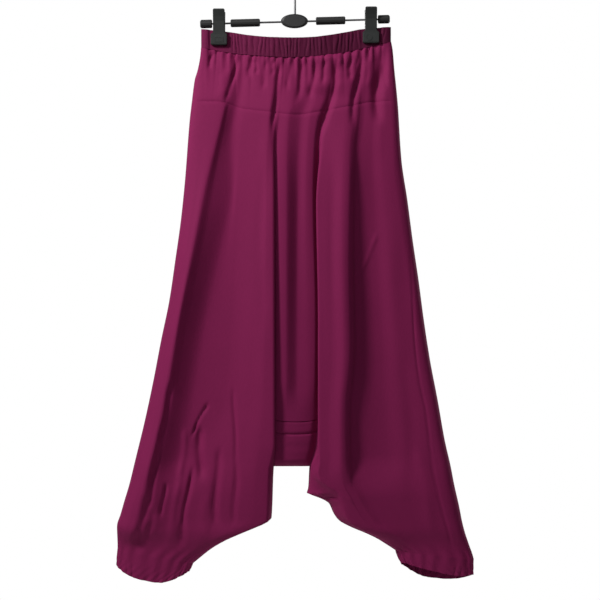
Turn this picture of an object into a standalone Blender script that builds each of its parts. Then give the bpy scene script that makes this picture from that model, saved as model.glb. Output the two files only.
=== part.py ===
"""Drop-crotch wide-leg pants hanging flat from a wire hanger with two clips.

Lengths are millimetres and are turned into metres where a mesh is made. X runs across the
garment, the front faces -Y, and the origin is the inner crown of the hook. "drop" is the
distance straight down from that crown, so Z is minus the drop.

Each side of the cloth is one surface. At every height it is a section through named knots,
which follow the fold lines down the garment. A panel is a stretch of that surface, given the
thickness of the cloth.
"""

import math

import bmesh
import bpy
import numpy as np

METRE = 0.001
CLOTH = 1.6
BAND_CLOTH = 2.4
SEAM = 0.15
FRONT = -1.0
BACK = 1.0

# Waistband: its ends, and its two edges as (x, drop), which sag between the clips
BAND_LEFT = -158.5
BAND_RIGHT = 162.0
BAND_TOP = [(-160, 96), (-112, 101.2), (-75, 107.4), (-40, 110.9), (0, 111.7), (30, 110.7),
            (56, 107.4), (90, 101), (112, 96.5), (163, 92.5)]
BAND_BOTTOM = [(-160, 127), (-95, 138.2), (-10, 144.5), (78, 136.8), (104, 130.9),
               (162, 117.5)]
BAND_BOTTOM_MIDDLE = 144.5
BAND_OPEN_DEPTH = 9.0
BAND_END_DEPTH = 3.6
BAND_PINCH_DEPTH = 1.5
BAND_END_ROUNDING = 9.0
BAND_RUCHES = 35
BAND_RUCHE_RISE = 0.55
YOKE_GATHER_PITCH = 14.0
YOKE_GATHER_RISE = 2.2
YOKE_GATHER_FADE = 0.30
YOKE_ROWS = (0.0, 0.07, 0.2, 0.42, 0.7, 1.0)

# Clips, measured from the middle of the garment
CLIP_X = 129.0
CLIP_HALF_PAD = 14.0

# Crotch: the two seams, the bottom, and the radius of the turn to the back
CROTCH_SEAM = 757.5
CROTCH_SEAM_SAG = 3.0
BAND_SEAM = 779.5
CROTCH_BOTTOM = 838.0
CROTCH_TURN = 15.0
TURN_START = CROTCH_BOTTOM - CROTCH_TURN
CENTRE_FULLNESS = {FRONT: (0.66, 0.40), BACK: (0.50, 0.50)}
CENTRE_TILT = 2.5
GUSSET_CLEARANCE = 0.7
WALL_CLEARANCE = 1.25

# Yoke seams, as (x, drop)
YOKE_SEAM_LINE = {
    FRONT: [(-190, 220), (-130, 221), (-85, 233), (-38, 239), (0, 243), (45, 237),
            (95, 228), (136, 220), (190, 219)],
    BACK: [(-190, 220), (-130, 222), (-65, 231), (0, 235), (65, 231), (130, 221),
           (190, 219)],
}
YOKE_SEAM_MIDDLE = 243.0
YOKE_SEAM_FADE = 150.0

# Lines that run down the garment, as (drop, x)
LINES = {
    "left": [(90, -158.5), (131, -159.5), (148, -161.5), (165, -165), (182, -170),
             (199, -172.5), (216, -174.5), (250, -178.5), (352, -186.5),
             (420, -193.5), (488, -203), (556, -213), (624, -227), (692, -240), (760, -254.5),
             (828, -271), (869, -281), (899, -290), (920, -296), (940, -302), (976, -301),
             (1000, -304), (1022, -303)],
    "right": [(90, 162), (112, 162.5), (131, 165.5), (165, 168.5), (199, 172), (233, 175),
              (250, 176), (318, 180.5), (386, 190.5), (454, 199.5), (522, 209.5), (590, 218.5),
              (658, 229), (726, 242), (794, 254), (838, 264), (869, 270), (909, 279),
              (930, 283), (950, 288), (971, 295), (991, 302), (1003, 304.5), (1022, 305)],
    "left_inner": [(148, -17), (182, -24), (216, -29), (250, -32), (301, -35), (760, -34),
                   (828, -34), (840, -36.5), (926, -40.3), (931, -46), (940, -66),
                   (950, -90), (962, -116), (977, -141), (996, -165), (1012, -184),
                   (1022, -196)],
    "right_inner": [(148, 67), (216, 56), (250, 45), (301, 39), (386, 36), (590, 40),
                    (740, 38), (800, 33), (838, 25), (874, 23), (885, 20.5), (888, 31),
                    (895, 49), (901, 58), (918, 66), (930, 75), (940, 93), (950, 117),
                    (960, 138), (971, 156), (981, 171), (996, 186), (1012, 204)],
    "broad_fold": [(148, -99), (216, -110), (301, -127), (437, -151), (590, -181),
                   (743, -207), (862, -236), (964, -253)],
    "low_crease": [(148, -74), (301, -92), (640, -112), (734, -124), (828, -167),
                   (896, -184), (926, -188)],
    "centre": [(148, 14), (216, 12), (250, 2), (340, -2), (838, -4)],
    "strip_left": [(148, 65), (216, 53), (250, 42), (301, 38), (386, 36), (590, 39),
                   (828, 39), (845, 36), (854, 38), (870, 54), (880, 68), (895, 76),
                   (910, 80), (930, 90), (950, 128), (980, 184), (1012, 220)],
    "strip_right": [(148, 116), (182, 109), (250, 104), (301, 98), (488, 96), (641, 98),
                    (743, 90), (862, 92), (896, 106), (930, 128)],
}

# How far each side stands from the middle plane where it is fullest, as (drop, depth)
FULLNESS = {
    FRONT: [(120, 10), (170, 15), (243, 23), (386, 31), (556, 35), (838, 36), (930, 31),
            (975, 23), (1005, 17)],
    BACK: [(120, 10), (170, 14), (243, 20), (386, 26), (556, 29), (838, 30), (930, 27),
           (975, 21), (1005, 17)],
}

# Heights at which the folds of the table below are given
HEIGHTS = (243, 400, 740)

# A row for each knot of the front section, left to right: the lines it lies between, its
# share of the way, its offset at the yoke and lower down, and its fullness at HEIGHTS.
FRONT_KNOTS = [
    # name, from, to, share, offset_high, offset_low, full_high, full_middle, full_low
    ("left_seam", "left", "left", 0.0, 0, 0, 0.0, 0.0, 0.0),
    ("left_turn", "left", "left", 0.0, 0.9, 0.9, 0.26, 0.26, 0.26),
    ("left_curve", "left", "left", 0.0, 4, 5, 0.54, 0.56, 0.56),
    ("left_rise", "left", "left", 0.0, 12, 16, 0.72, 0.70, 0.70),
    ("left_face", "left", "broad_fold", 0.5, 0, 0, 0.86, 0.78, 0.80),
    ("broad_ridge", "broad_fold", "broad_fold", 0.0, -9, -14, 0.94, 0.88, 0.90),
    ("broad_fold", "broad_fold", "broad_fold", 0.0, 1, 2, 0.74, 0.66, 0.66),
    ("broad_valley", "broad_fold", "broad_fold", 0.0, 14, 33, 0.58, 0.44, 0.42),
    ("low_crease", "low_crease", "low_crease", 0.0, 0, 0, 0.70, 0.52, 0.50),
    ("left_ridge", "low_crease", "left_inner", 0.5, 0, 0, 0.88, 0.76, 0.76),
    ("left_flat", "low_crease", "left_inner", 0.8, 0, 0, 0.98, 0.96, 0.94),
    ("left_crest", "left_inner", "left_inner", 0.0, -5, -3.2, 0.92, 0.98, 0.98),
    ("left_edge", "left_inner", "left_inner", 0.0, -1.5, 0.5, 0.88, 0.90, 0.90),
    ("left_under", "left_inner", "left_inner", 0.0, 1.5, -4.0, 0.82, 0.78, 0.76),
    ("left_inner_seam", "left_inner", "left_inner", 0.0, 5, -2.0, 0.78, 0.70, 0.66),
    ("centre_left", "left_inner", "left_inner", 0.0, 12, 7, 0.82, 0.80, 0.72),
    ("centre_ridge", "left_inner", "centre", 0.60, 0, 0, 0.86, 0.84, 0.72),
    ("centre_fold", "centre", "centre", 0.0, 8, 8, 0.68, 0.54, 0.54),
    ("centre_rise", "centre", "right_inner", 0.55, 0, 0, 0.78, 0.60, 0.54),
    ("centre_right", "right_inner", "right_inner", 0.0, -9, -9, 0.76, 0.58, 0.50),
    ("right_inner_seam", "right_inner", "right_inner", 0.0, 0, 0, 0.66, 0.40, 0.40),
    ("strip_under", "strip_left", "strip_left", 0.0, 5, 5.5, 0.66, 0.56, 0.56),
    ("strip_edge", "strip_left", "strip_left", 0.0, 8, 0.0, 0.68, 0.82, 0.82),
    ("strip_crest", "strip_left", "strip_left", 0.0, 12, 2.2, 0.72, 0.88, 0.88),
    ("strip_left", "strip_left", "strip_right", 0.35, 0, 0, 0.80, 0.88, 0.90),
    ("strip_ridge", "strip_left", "strip_right", 0.72, 0, 0, 0.88, 0.98, 1.00),
    ("strip_fall", "strip_right", "strip_right", 0.0, -8, -8, 0.84, 0.95, 0.96),
    ("strip_outer", "strip_right", "strip_right", 0.0, 0, 0, 0.72, 0.80, 0.80),
    ("strip_tuck", "strip_right", "strip_right", 0.0, 6, 5, 0.60, 0.62, 0.60),
    ("right_valley", "strip_right", "strip_right", 0.0, 14, 17, 0.54, 0.54, 0.50),
    ("right_slope", "strip_right", "right", 0.38, 0, 0, 0.54, 0.51, 0.46),
    ("right_swell", "strip_right", "right", 0.6, 0, 0, 0.62, 0.56, 0.54),
    ("right_rise", "right", "right", 0.0, -13, -18, 0.60, 0.56, 0.56),
    ("right_curve", "right", "right", 0.0, -4, -5, 0.46, 0.44, 0.44),
    ("right_turn", "right", "right", 0.0, -0.9, -0.9, 0.24, 0.22, 0.22),
    ("right_seam", "right", "right", 0.0, 0, 0, 0.0, 0.0, 0.0),
]

# The same for the back, seen through the garment, so the left is at the left here too
BACK_KNOTS = [
    ("left_seam", "left", "left", 0.0, 0, 0, 0.0, 0.0, 0.0),
    ("left_turn", "left", "left", 0.0, 0.9, 0.9, 0.24, 0.22, 0.22),
    ("left_curve", "left", "left", 0.0, 4, 5, 0.50, 0.47, 0.45),
    ("left_rise", "left", "left", 0.0, 12, 16, 0.76, 0.74, 0.72),
    ("left_face", "left", "broad_fold", 0.6, 0, 0, 0.96, 1.00, 1.00),
    ("left_fold", "left", "broad_fold", 1.0, 0, 14, 0.70, 0.74, 0.72),
    ("left_ridge", "broad_fold", "left_inner", 0.36, 0, 0, 0.98, 1.02, 1.04),
    ("soft_fold", "broad_fold", "left_inner", 0.62, 0, 0, 0.86, 0.84, 0.80),
    ("left_flat", "broad_fold", "left_inner", 0.84, 0, 0, 1.00, 1.04, 1.04),
    ("left_crest", "left_inner", "left_inner", 0.0, -4, -3.2, 0.84, 0.92, 0.92),
    ("left_edge", "left_inner", "left_inner", 0.0, -1.5, 0.0, 0.76, 0.78, 0.78),
    ("left_under", "left_inner", "left_inner", 0.0, 1.5, -3.5, 0.68, 0.64, 0.64),
    ("left_inner_seam", "left_inner", "left_inner", 0.0, 5, -2.0, 0.62, 0.52, 0.50),
    ("centre_left", "left_inner", "left_inner", 0.0, 12, 9, 0.66, 0.50, 0.48),
    ("centre_fold", "centre", "centre", 0.0, 0, 0, 0.60, 0.44, 0.48),
    ("centre_right", "right_inner", "right_inner", 0.0, -9, -10, 0.68, 0.50, 0.48),
    ("right_inner_seam", "right_inner", "right_inner", 0.0, 0, 0, 0.62, 0.52, 0.50),
    ("strip_under", "strip_left", "strip_left", 0.0, 5, 5.5, 0.68, 0.66, 0.66),
    ("strip_edge", "strip_left", "strip_left", 0.0, 8, 1.0, 0.76, 0.80, 0.80),
    ("strip_crest", "strip_left", "strip_left", 0.0, 13, 4.5, 0.88, 0.94, 0.94),
    ("strip_ridge", "strip_left", "strip_right", 0.6, 0, 0, 1.02, 1.08, 1.06),
    ("right_valley", "strip_right", "strip_right", 0.0, 5, 8, 0.74, 0.74, 0.74),
    ("right_swell", "strip_right", "right", 0.5, 0, 0, 0.92, 1.00, 1.00),
    ("right_rise", "right", "right", 0.0, -13, -18, 0.78, 0.78, 0.76),
    ("right_curve", "right", "right", 0.0, -4, -5, 0.50, 0.47, 0.45),
    ("right_turn", "right", "right", 0.0, -0.9, -0.9, 0.24, 0.22, 0.22),
    ("right_seam", "right", "right", 0.0, 0, 0, 0.0, 0.0, 0.0),
]
KNOTS = {FRONT: FRONT_KNOTS, BACK: BACK_KNOTS}

# Below the crotch each leg is a tube of its own, and the fold wall beside the set-back
# panel becomes its inner side: knot, line, second line, share, offset, fullness there
INNER_WALL = {
    "left_crest": ("left_inner", "left_inner", 0.0, -8, 0.92),
    "left_edge": ("left_inner", "left_inner", 0.0, -3, 0.72),
    "left_under": ("left_inner", "left_inner", 0.0, -0.9, 0.38),
    "left_inner_seam": ("left_inner", "left_inner", 0.0, 0, 0.0),
    "right_inner_seam": ("right_inner", "right_inner", 0.0, 0, 0.0),
    "strip_under": ("right_inner", "strip_left", 0.12, 1.0, 0.34),
    "strip_edge": ("right_inner", "strip_left", 0.5, 3, 0.62),
    "strip_crest": ("right_inner", "strip_left", 1.0, 3, 0.92),
}
SPLIT_START = 798.0
SPLIT_LENGTH = 38.0

# The long folds run out between these drops, to the fullness given for each knot
FOLD_END = 846.0
FOLD_END_LENGTH = 44.0
FOLD_OUT = {
    "broad_ridge": 0.90, "broad_fold": 0.78, "broad_valley": 0.68, "low_crease": 0.70,
    "left_ridge": 0.84, "strip_left": 0.96, "strip_ridge": 0.98, "strip_fall": 0.97,
    "strip_outer": 0.96, "strip_tuck": 0.95, "right_valley": 0.92, "right_slope": 0.84,
    "right_swell": 0.78, "right_rise": 0.66,
}

# Legs narrow from here to the ankle seams, and their rows tilt to follow them
NARROWING = 926.0
TAPER_LEVELS = 60.0
ANKLES = {
    "left": {"outer": "left", "inner": "left_inner", "seam_outer": 978.0,
             "seam_inner": 1003.0, "length": 43.5, "depth": 15.0, "gathers": 17,
             "front_lift": 1.0, "hem_belly": 1.0, "taper_outer": 0.10, "taper_inner": 0.28,
             "corner_outer": 15.0, "corner_inner": 29.0},
    "right": {"outer": "right", "inner": "right_inner", "seam_outer": 996.0,
              "seam_inner": 981.0, "length": 41.0, "depth": 15.0, "gathers": 17,
              "front_lift": 15.0, "hem_belly": 1.0, "taper_outer": -0.06,
              "taper_inner": 0.45, "corner_outer": 14.0, "corner_inner": 18.0},
}
TAPER_POWER = 1.3
GATHER_RISE = 1.5

# Rows of the panels, as drops; below NARROWING they are the rows that tilt to the ankle
TAPER_ROWS = (939.0, 954.0, 970.0, 986.0)
CROTCH_ROWS = (800.0, 823.0, 829.0, 834.0, 838.0, 850.0)
FRONT_ROWS = (243.0, 265.0, 305.0, 370.0, 470.0, 600.0, 700.0, 757.5)
BACK_ROWS = (243.0, 300.0, 400.0, 560.0, 700.0, 779.5)
CORNER_ROWS = (868.0, 884.0, 888.0, 896.0, 908.0, 926.0)
FRONT_LEVELS = (*FRONT_ROWS, BAND_SEAM, *CROTCH_ROWS, 890.0, 926.0, *TAPER_ROWS)
FRONT_CORNER_LEVELS = (*FRONT_ROWS, BAND_SEAM, *CROTCH_ROWS, *CORNER_ROWS, *TAPER_ROWS)
BACK_LEVELS = (*BACK_ROWS, *CROTCH_ROWS, 890.0, 926.0, *TAPER_ROWS)
BACK_CORNER_LEVELS = (*BACK_ROWS, *CROTCH_ROWS, *CORNER_ROWS, *TAPER_ROWS)

# Hanger
BAR_RADIUS = 1.6
BAR_HALF = 150.0
BAR_DROP = 82.8
BAR_TILT = 0.0265
RUNNING = 0.3
HOOK_WIRE = 1.8
HOOK_INNER_RADIUS = 19.0
STEM_TOP = 46.0
BADGE_X = -0.9
BADGE_DROP = 82.0
BADGE_HALF_WIDTH = 23.0
BADGE_HALF_HEIGHT = 12.0
BADGE_HALF_THICKNESS = 4.0
GRIP_LENGTH = 50.0
GRIP_RADIUS = 6.6
GRIP_LEFT_X = -84.5
GRIP_RIGHT_X = 60.5
CAP_LENGTH = 20.0
CAP_RADIUS = 7.2
CAP_LEFT_X = -151.0
CAP_RIGHT_X = 151.0
SLEEVE_RADIUS = 5.4
SLEEVE_LENGTH = 17.0
RIGHT_CLIP_RAISE = 3.4

# A jaw's sections from its lever to the pad: drop, half width, inner and outer distance
JAW_SECTIONS = [(63.2, 8.6, 11.6, 14.2), (65.0, 10.0, 11.0, 14.8), (76.0, 10.0, 7.6, 11.6),
                (83.0, 10.0, 6.0, 10.2), (91.0, 10.0, 5.7, 9.6), (102.0, 10.0, 3.6, 8.8),
                (105.4, 14.0, 3.0, 8.6), (121.6, 14.0, 3.0, 8.2), (123.5, 12.6, 3.6, 7.0)]

# Share of a grid step over which a surface's direction is measured
DIFFERENCE = 0.02

CLOTH_ROUGHNESS = 0.75
PLUM = (0.180, 0.028, 0.085)
PLUM_DARK = (0.130, 0.022, 0.065)
BLACK = (0.020, 0.022, 0.022)
STEEL = (0.120, 0.120, 0.122)


def along(table, at):
    """A smooth line through the table's points, which never overshoots them."""
    known = np.array([row[0] for row in table], float)
    value = np.array([row[1] for row in table], float)
    slope = np.diff(value) / np.diff(known)
    before, after = slope[:-1], slope[1:]
    product = before * after
    total = np.where(np.abs(before + after) > 1e-9, before + after, 1.0)
    inner = np.where(product > 0, 2 * product / total, 0.0)
    tangent = np.concatenate([slope[:1], inner, slope[-1:]])
    at = np.clip(np.asarray(at, float), known[0], known[-1])
    index = np.clip(np.searchsorted(known, at, side="right") - 1, 0, len(slope) - 1)
    width = known[index + 1] - known[index]
    return hermite((at - known[index]) / width, value[index], value[index + 1],
                   tangent[index] * width, tangent[index + 1] * width)


def hermite(t, start, end, leave, arrive):
    """The cubic between two values with the given tangents."""
    t2 = t * t
    t3 = t2 * t
    return ((2 * t3 - 3 * t2 + 1) * start + (t3 - 2 * t2 + t) * leave
            + (3 * t2 - 2 * t3) * end + (t3 - t2) * arrive)


def ease(t):
    """Smooth step from 0 to 1."""
    t = np.clip(t, 0.0, 1.0)
    return t * t * (3 - 2 * t)


def mix(a, b, share):
    return a + (b - a) * share


def band_depth(x, left, right):
    """The waist gapes between the clips, is pinched in them and rounds off at its ends."""
    reach = np.abs(x)
    middle = ease((CLIP_X - CLIP_HALF_PAD - 3 - reach) / 75.0)
    ends = ease((reach - CLIP_X - CLIP_HALF_PAD) / 8.0)
    depth = mix(BAND_PINCH_DEPTH, BAND_OPEN_DEPTH, middle)
    depth = mix(depth, BAND_END_DEPTH, ends)
    closing = np.clip(np.minimum(x - left, right - x) / BAND_END_ROUNDING, 0.0, 1.0)
    return depth * np.sqrt(1 - (1 - closing) ** 2)


def crotch_turn(drop):
    """1 above the turn under the crotch, falling to 0 at the bottom along a quarter circle."""
    t = np.clip((drop - TURN_START) / CROTCH_TURN, 0.0, 1.0)
    return np.sqrt(1 - t * t)


def leg_split(drop):
    """0 where the two legs are one piece of cloth, 1 where each is a tube of its own."""
    return ease((drop - SPLIT_START) / SPLIT_LENGTH)


def knot_places(side, drop):
    """Where every knot of one side lies at each drop: two arrays, knots by drops."""
    drop = np.asarray(drop, float)
    held = np.minimum(drop, NARROWING)
    low = ease((drop - HEIGHTS[0]) / (HEIGHTS[1] - HEIGHTS[0]))
    split = leg_split(drop)
    run_out = ease((drop - FOLD_END) / FOLD_END_LENGTH)
    full = along(FULLNESS[side], drop)
    lines = {name: along(table, held) for name, table in LINES.items()}
    places, depths = [], []
    for name, start, end, share, offset_high, offset_low, *fullness in KNOTS[side]:
        x = mix(lines[start], lines[end], share) + mix(offset_high, offset_low, low)
        part = along(list(zip(HEIGHTS, fullness)), drop)
        if side == FRONT:
            part = mix(part, FOLD_OUT.get(name, part), run_out)
        if name in INNER_WALL:
            inner, outer, inner_share, offset, tube_part = INNER_WALL[name]
            x = mix(x, mix(lines[inner], lines[outer], inner_share) + offset, split)
            if not name.endswith("inner_seam"):
                part = mix(part, tube_part, split)
        places.append(x)
        depths.append(part * full)
    places, depths = np.array(places), np.array(depths)
    left, right = knot_index(side, "left_inner_seam"), knot_index(side, "right_inner_seam")
    share = (places[left:right + 1] - places[left]) / (places[right] - places[left])
    flat = centre_depth(side, drop, share)
    centre = mix(depths[left:right + 1], flat, ease((drop - 690) / 60))
    depths[left:right + 1] = centre * crotch_turn(drop)
    return narrowed(side, drop, places), depths


def knot_index(side, name):
    return [row[0] for row in KNOTS[side]].index(name)


def narrowed(side, drop, places):
    """Towards the ankles each leg's knots keep their shares of the leg's own width."""
    below = drop > NARROWING
    result = places.copy()
    left_end = knot_index(side, "left_inner_seam")
    right_start = knot_index(side, "right_inner_seam")
    spans = ((slice(0, left_end + 1), "left", "left_inner"),
             (slice(right_start, len(places)), "right_inner", "right"))
    for span, first, last in spans:
        old_first, old_last = along(LINES[first], NARROWING), along(LINES[last], NARROWING)
        new_first, new_last = along(LINES[first], drop), along(LINES[last], drop)
        share = (places[span] - old_first) / (old_last - old_first)
        squeezed = new_first + share * (new_last - new_first)
        result[span] = np.where(below, squeezed, places[span])
    return result


def meeting_slope(a, b):
    """The tangent where two steps meet: none at a turn, else between the two."""
    total = np.where(np.abs(a + b) > 1e-9, a + b, 1.0)
    return np.where(a * b > 0, 2 * a * b / total, 0.0)


def section_point(side, s, drop):
    """X and Y at knot position s (a knot's number, or between two) at each drop."""
    places, depths = knot_places(side, drop)
    last = len(places) - 1
    index = np.clip(s.astype(int), 0, last - 1)
    t = s - index
    column = np.arange(len(s))
    split = leg_split(drop)
    left_seam = knot_index(side, "left_inner_seam")
    right_seam = knot_index(side, "right_inner_seam")
    leave_alone = np.where((index == 0) | (index == right_seam), 1.0, 0.0)
    leave_alone = np.where(index == right_seam, split, leave_alone)
    arrive_alone = np.where(index == last - 1, 1.0, 0.0)
    arrive_alone = np.where(index == left_seam - 1, split, arrive_alone)

    def through(values):
        here, there = values[index, column], values[index + 1, column]
        step = there - here
        back = here - values[np.maximum(index - 1, 0), column]
        on = values[np.minimum(index + 2, last), column] - there
        leave = mix(meeting_slope(back, step), step, leave_alone)
        arrive = mix(meeting_slope(step, on), step, arrive_alone)
        return hermite(t, here, there, leave, arrive)

    return through(places), side * through(depths)


def yoke_share(side, x, drop):
    """0 at the waistband, 1 at the yoke seam and below it."""
    top = along(BAND_BOTTOM, x)
    return np.clip((drop - top) / (along(YOKE_SEAM_LINE[side], x) - top), 0.0, 1.0)


def surface(side, s, drop):
    """Points of one side of the garment, with the yoke led into the waistband."""
    x, y = section_point(side, s, drop)
    v = yoke_share(side, x, drop)
    at_band = side * band_depth(x, along(LINES["left"], drop), along(LINES["right"], drop))
    y = mix(at_band, y, np.sin(v * math.pi / 2))
    wave = np.sin(x * 2 * math.pi / YOKE_GATHER_PITCH + 1.3 * np.sin(x / 23.0))
    uneven = 0.65 + 0.35 * np.sin(x / 17.0 + 1.0)
    fade = np.exp(-v / YOKE_GATHER_FADE) * (1 - v) * ease(v / 0.06 + 0.25)
    clear = ease((np.minimum(x - BAND_LEFT, BAND_RIGHT - x) - 6) / 12.0)
    y = y + side * YOKE_GATHER_RISE * wave * uneven * fade * clear
    return np.stack([x, y, -drop], axis=-1)


def yoke_point(side, s, v):
    """A yoke point, v running from the waistband seam to the yoke seam."""
    drop = mix(BAND_BOTTOM_MIDDLE, YOKE_SEAM_MIDDLE, v)
    for _ in range(3):
        x, _ = section_point(side, s, drop)
        drop = mix(along(BAND_BOTTOM, x), along(YOKE_SEAM_LINE[side], x), v)
    return surface(side, s, drop)


def sag(share, level):
    """How much lower the crotch seams lie between their ends."""
    strength = ease((level - 700.0) / 50.0) * (1 - ease((level - BAND_SEAM) / 30.0))
    return CROTCH_SEAM_SAG * strength * (1 - (2 * share - 1) ** 2)


def panel_point(side, s, level, leg):
    """A leg or centre panel's point. Level is the drop of a row where the row is level."""
    drop = np.minimum(level, NARROWING)
    held = drop
    fade = 1 - ease((held - YOKE_SEAM_MIDDLE) / YOKE_SEAM_FADE)
    for _ in range(3):
        x, _ = section_point(side, s, drop)
        drop = held + fade * (along(YOKE_SEAM_LINE[side], x) - YOKE_SEAM_MIDDLE)
    if leg is None:
        left = border_x("left_inner_seam", side, drop)
        right = border_x("right_inner_seam", side, drop)
        share = (section_point(side, s, drop)[0] - left) / (right - left)
        return surface(side, s, drop + sag(share, level))
    ankle = ANKLES[leg]
    at_knee, _ = section_point(side, s, np.full(len(s), NARROWING))
    outer_x = along(LINES[ankle["outer"]], NARROWING)
    inner_x = along(LINES[ankle["inner"]], NARROWING)
    share = np.clip((at_knee - outer_x) / (inner_x - outer_x), 0.0, 1.0)
    t = np.maximum(level - NARROWING, 0.0) / TAPER_LEVELS
    seam_drop = mix(ankle["seam_outer"], ankle["seam_inner"], share)
    drop = drop + t * (seam_drop - NARROWING)
    point = surface(side, s, drop)
    angle = np.arccos(1 - 2 * share)
    angle = angle if side == FRONT else 2 * math.pi - angle
    ring = ankle_point(leg, angle, t, np.zeros(len(t)))
    return mix(point, ring, ease((t - 0.25) / 0.75)[:, None])


def ankle_ends(leg, t):
    """The outer and inner ends of a leg's row, t running from the knee to the ankle seam."""
    ankle = ANKLES[leg]
    ends = []
    for line, seam_drop in ((ankle["outer"], ankle["seam_outer"]),
                            (ankle["inner"], ankle["seam_inner"])):
        drop = mix(NARROWING, seam_drop, t)
        ends.append(np.stack([along(LINES[line], drop), 0.0 * drop, -drop], axis=-1))
    return ends


def ankle_down(leg):
    """The way down the casing, square to its seam."""
    outer, inner = ankle_ends(leg, 1.0)
    across = (inner - outer) / np.linalg.norm(inner - outer)
    down = np.array([across[2], 0.0, -across[0]])
    return down if down[2] < 0 else -down


def ankle_point(leg, angle, t, below):
    """The gathered ankle: angle from its outer end round the front, t down to the seam,
    and then how far below the seam in the casing."""
    ankle = ANKLES[leg]
    outer, inner = ankle_ends(leg, t)
    v = np.clip(below / ankle["length"], 0.0, 1.0)
    cosine, sine = np.cos(angle), np.sin(angle)
    taper = np.where(cosine > 0, ankle["taper_outer"], ankle["taper_inner"])
    round_in = 1 - taper * v ** TAPER_POWER
    gathers = np.sin(angle * ankle["gathers"] + 0.8 * np.sin(3 * angle))
    held = ease((t - 0.55) / 0.45) * (1 - 0.35 * np.sin(v * math.pi))
    ripple = GATHER_RISE * gathers * held * ease(np.abs(sine) / 0.35)
    depth = (ankle["depth"] * np.abs(sine) ** 0.8 + ripple) * np.sign(sine) * (1 - 0.12 * v)
    point = (outer + inner) / 2 + (-cosine * round_in)[:, None] * (inner - outer) / 2
    point = point + below[:, None] * ankle_down(leg)
    point[:, 1] -= depth
    return point


def hem_length(leg, angle):
    """How far the casing reaches below its seam, all round."""
    ankle = ANKLES[leg]
    sine = np.sin(angle)
    towards_inner = (1 - np.cos(angle)) / 2
    front = np.maximum(sine, 0) * ankle["front_lift"] * (0.5 + towards_inner)
    back = np.maximum(-sine, 0) * ankle["hem_belly"]
    corner = np.where(towards_inner < 0.5, ankle["corner_outer"], ankle["corner_inner"])
    corner = corner * np.abs(np.cos(angle)) ** 3
    return ankle["length"] - front + back - corner


def gusset_point(share, path):
    """The gusset: path 0 at the bottom, negative up the front and positive up the back."""
    side = np.where(path < 0, FRONT, BACK)
    quarter = CROTCH_TURN * math.pi / 2
    reach = np.abs(path)
    turn = np.minimum(reach / quarter, 1.0) * math.pi / 2
    climb = np.maximum(reach - quarter, 0.0)
    drop = TURN_START + CROTCH_TURN * np.cos(turn) - climb
    left = border_x("left_inner_seam", side, drop)
    right = border_x("right_inner_seam", side, drop)
    depth = np.where(path < 0, centre_depth(FRONT, drop, share),
                     centre_depth(BACK, drop, share))
    y = side * depth * np.sin(turn)
    return np.stack([mix(left, right, share), y, -drop - sag(share, drop)], axis=-1)


def border_x(name, side, drop):
    front = knot_places(FRONT, drop)[0][knot_index(FRONT, name)]
    back = knot_places(BACK, drop)[0][knot_index(BACK, name)]
    return np.where(side == FRONT, front, back)


def centre_depth(side, drop, share):
    """How far the flat centre above the crotch stands from the middle plane, at a share of
    its width."""
    return mix(*CENTRE_FULLNESS[side], share ** CENTRE_TILT) * along(FULLNESS[side], drop)


def grid_of(point, across, down):
    """Points and unit normals of a surface function over a grid of its two parameters."""
    u, v = np.meshgrid(across, down)
    shape = u.shape
    u, v = u.ravel(), v.ravel()
    step_u = DIFFERENCE * (across[-1] - across[0]) / len(across)
    step_v = DIFFERENCE * (down[-1] - down[0]) / len(down)
    right = point(np.minimum(u + step_u, across[-1]), v)
    left = point(np.maximum(u - step_u, across[0]), v)
    lower = point(u, np.minimum(v + step_v, down[-1]))
    upper = point(u, np.maximum(v - step_v, down[0]))
    normals = np.cross(right - left, lower - upper)
    normals /= np.maximum(np.linalg.norm(normals, axis=-1, keepdims=True), 1e-12)
    return point(u, v).reshape(*shape, 3), normals.reshape(*shape, 3)


def level_ends(normals, weights, column):
    """Turns an end column's normals into the plane of the garment, which squares the seam."""
    normals[:, column, 1] *= 1 - weights
    normals[:, column] /= np.linalg.norm(normals[:, column], axis=-1, keepdims=True)


def square_seam(normals, row, down=(0.0, 0.0, -1.0)):
    """Turns a seam row's normals square to the seam's own direction down the garment."""
    down = np.array(down)
    normals[row] -= (normals[row] @ down)[:, None] * down
    normals[row] /= np.linalg.norm(normals[row], axis=-1, keepdims=True)


def pull_in(points, amounts, axis_last):
    """Moves the two ends of every row, or of every column, in along it by the amounts."""
    lines = points if axis_last else points.transpose(1, 0, 2)
    for end, near in ((0, 1), (-1, -2)):
        step = lines[:, near] - lines[:, end]
        step /= np.linalg.norm(step, axis=-1, keepdims=True)
        amount = amounts[0] if end == 0 else amounts[1]
        lines[:, end] += step * np.reshape(amount, (-1, 1))


def knot_steps(side, first, last, spacing, drop):
    """Knot positions from one knot to another, no wider apart than the spacing."""
    places, depths = knot_places(side, np.array([float(drop)]))
    start, end = knot_index(side, first), knot_index(side, last)
    found = [float(start)]
    for index in range(start, end):
        across = places[index + 1, 0] - places[index, 0]
        deep = depths[index + 1, 0] - depths[index, 0]
        count = max(1, math.ceil(math.hypot(across, deep) / spacing))
        found.extend(index + (step + 1) / count for step in range(count))
    return np.array(found)


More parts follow.
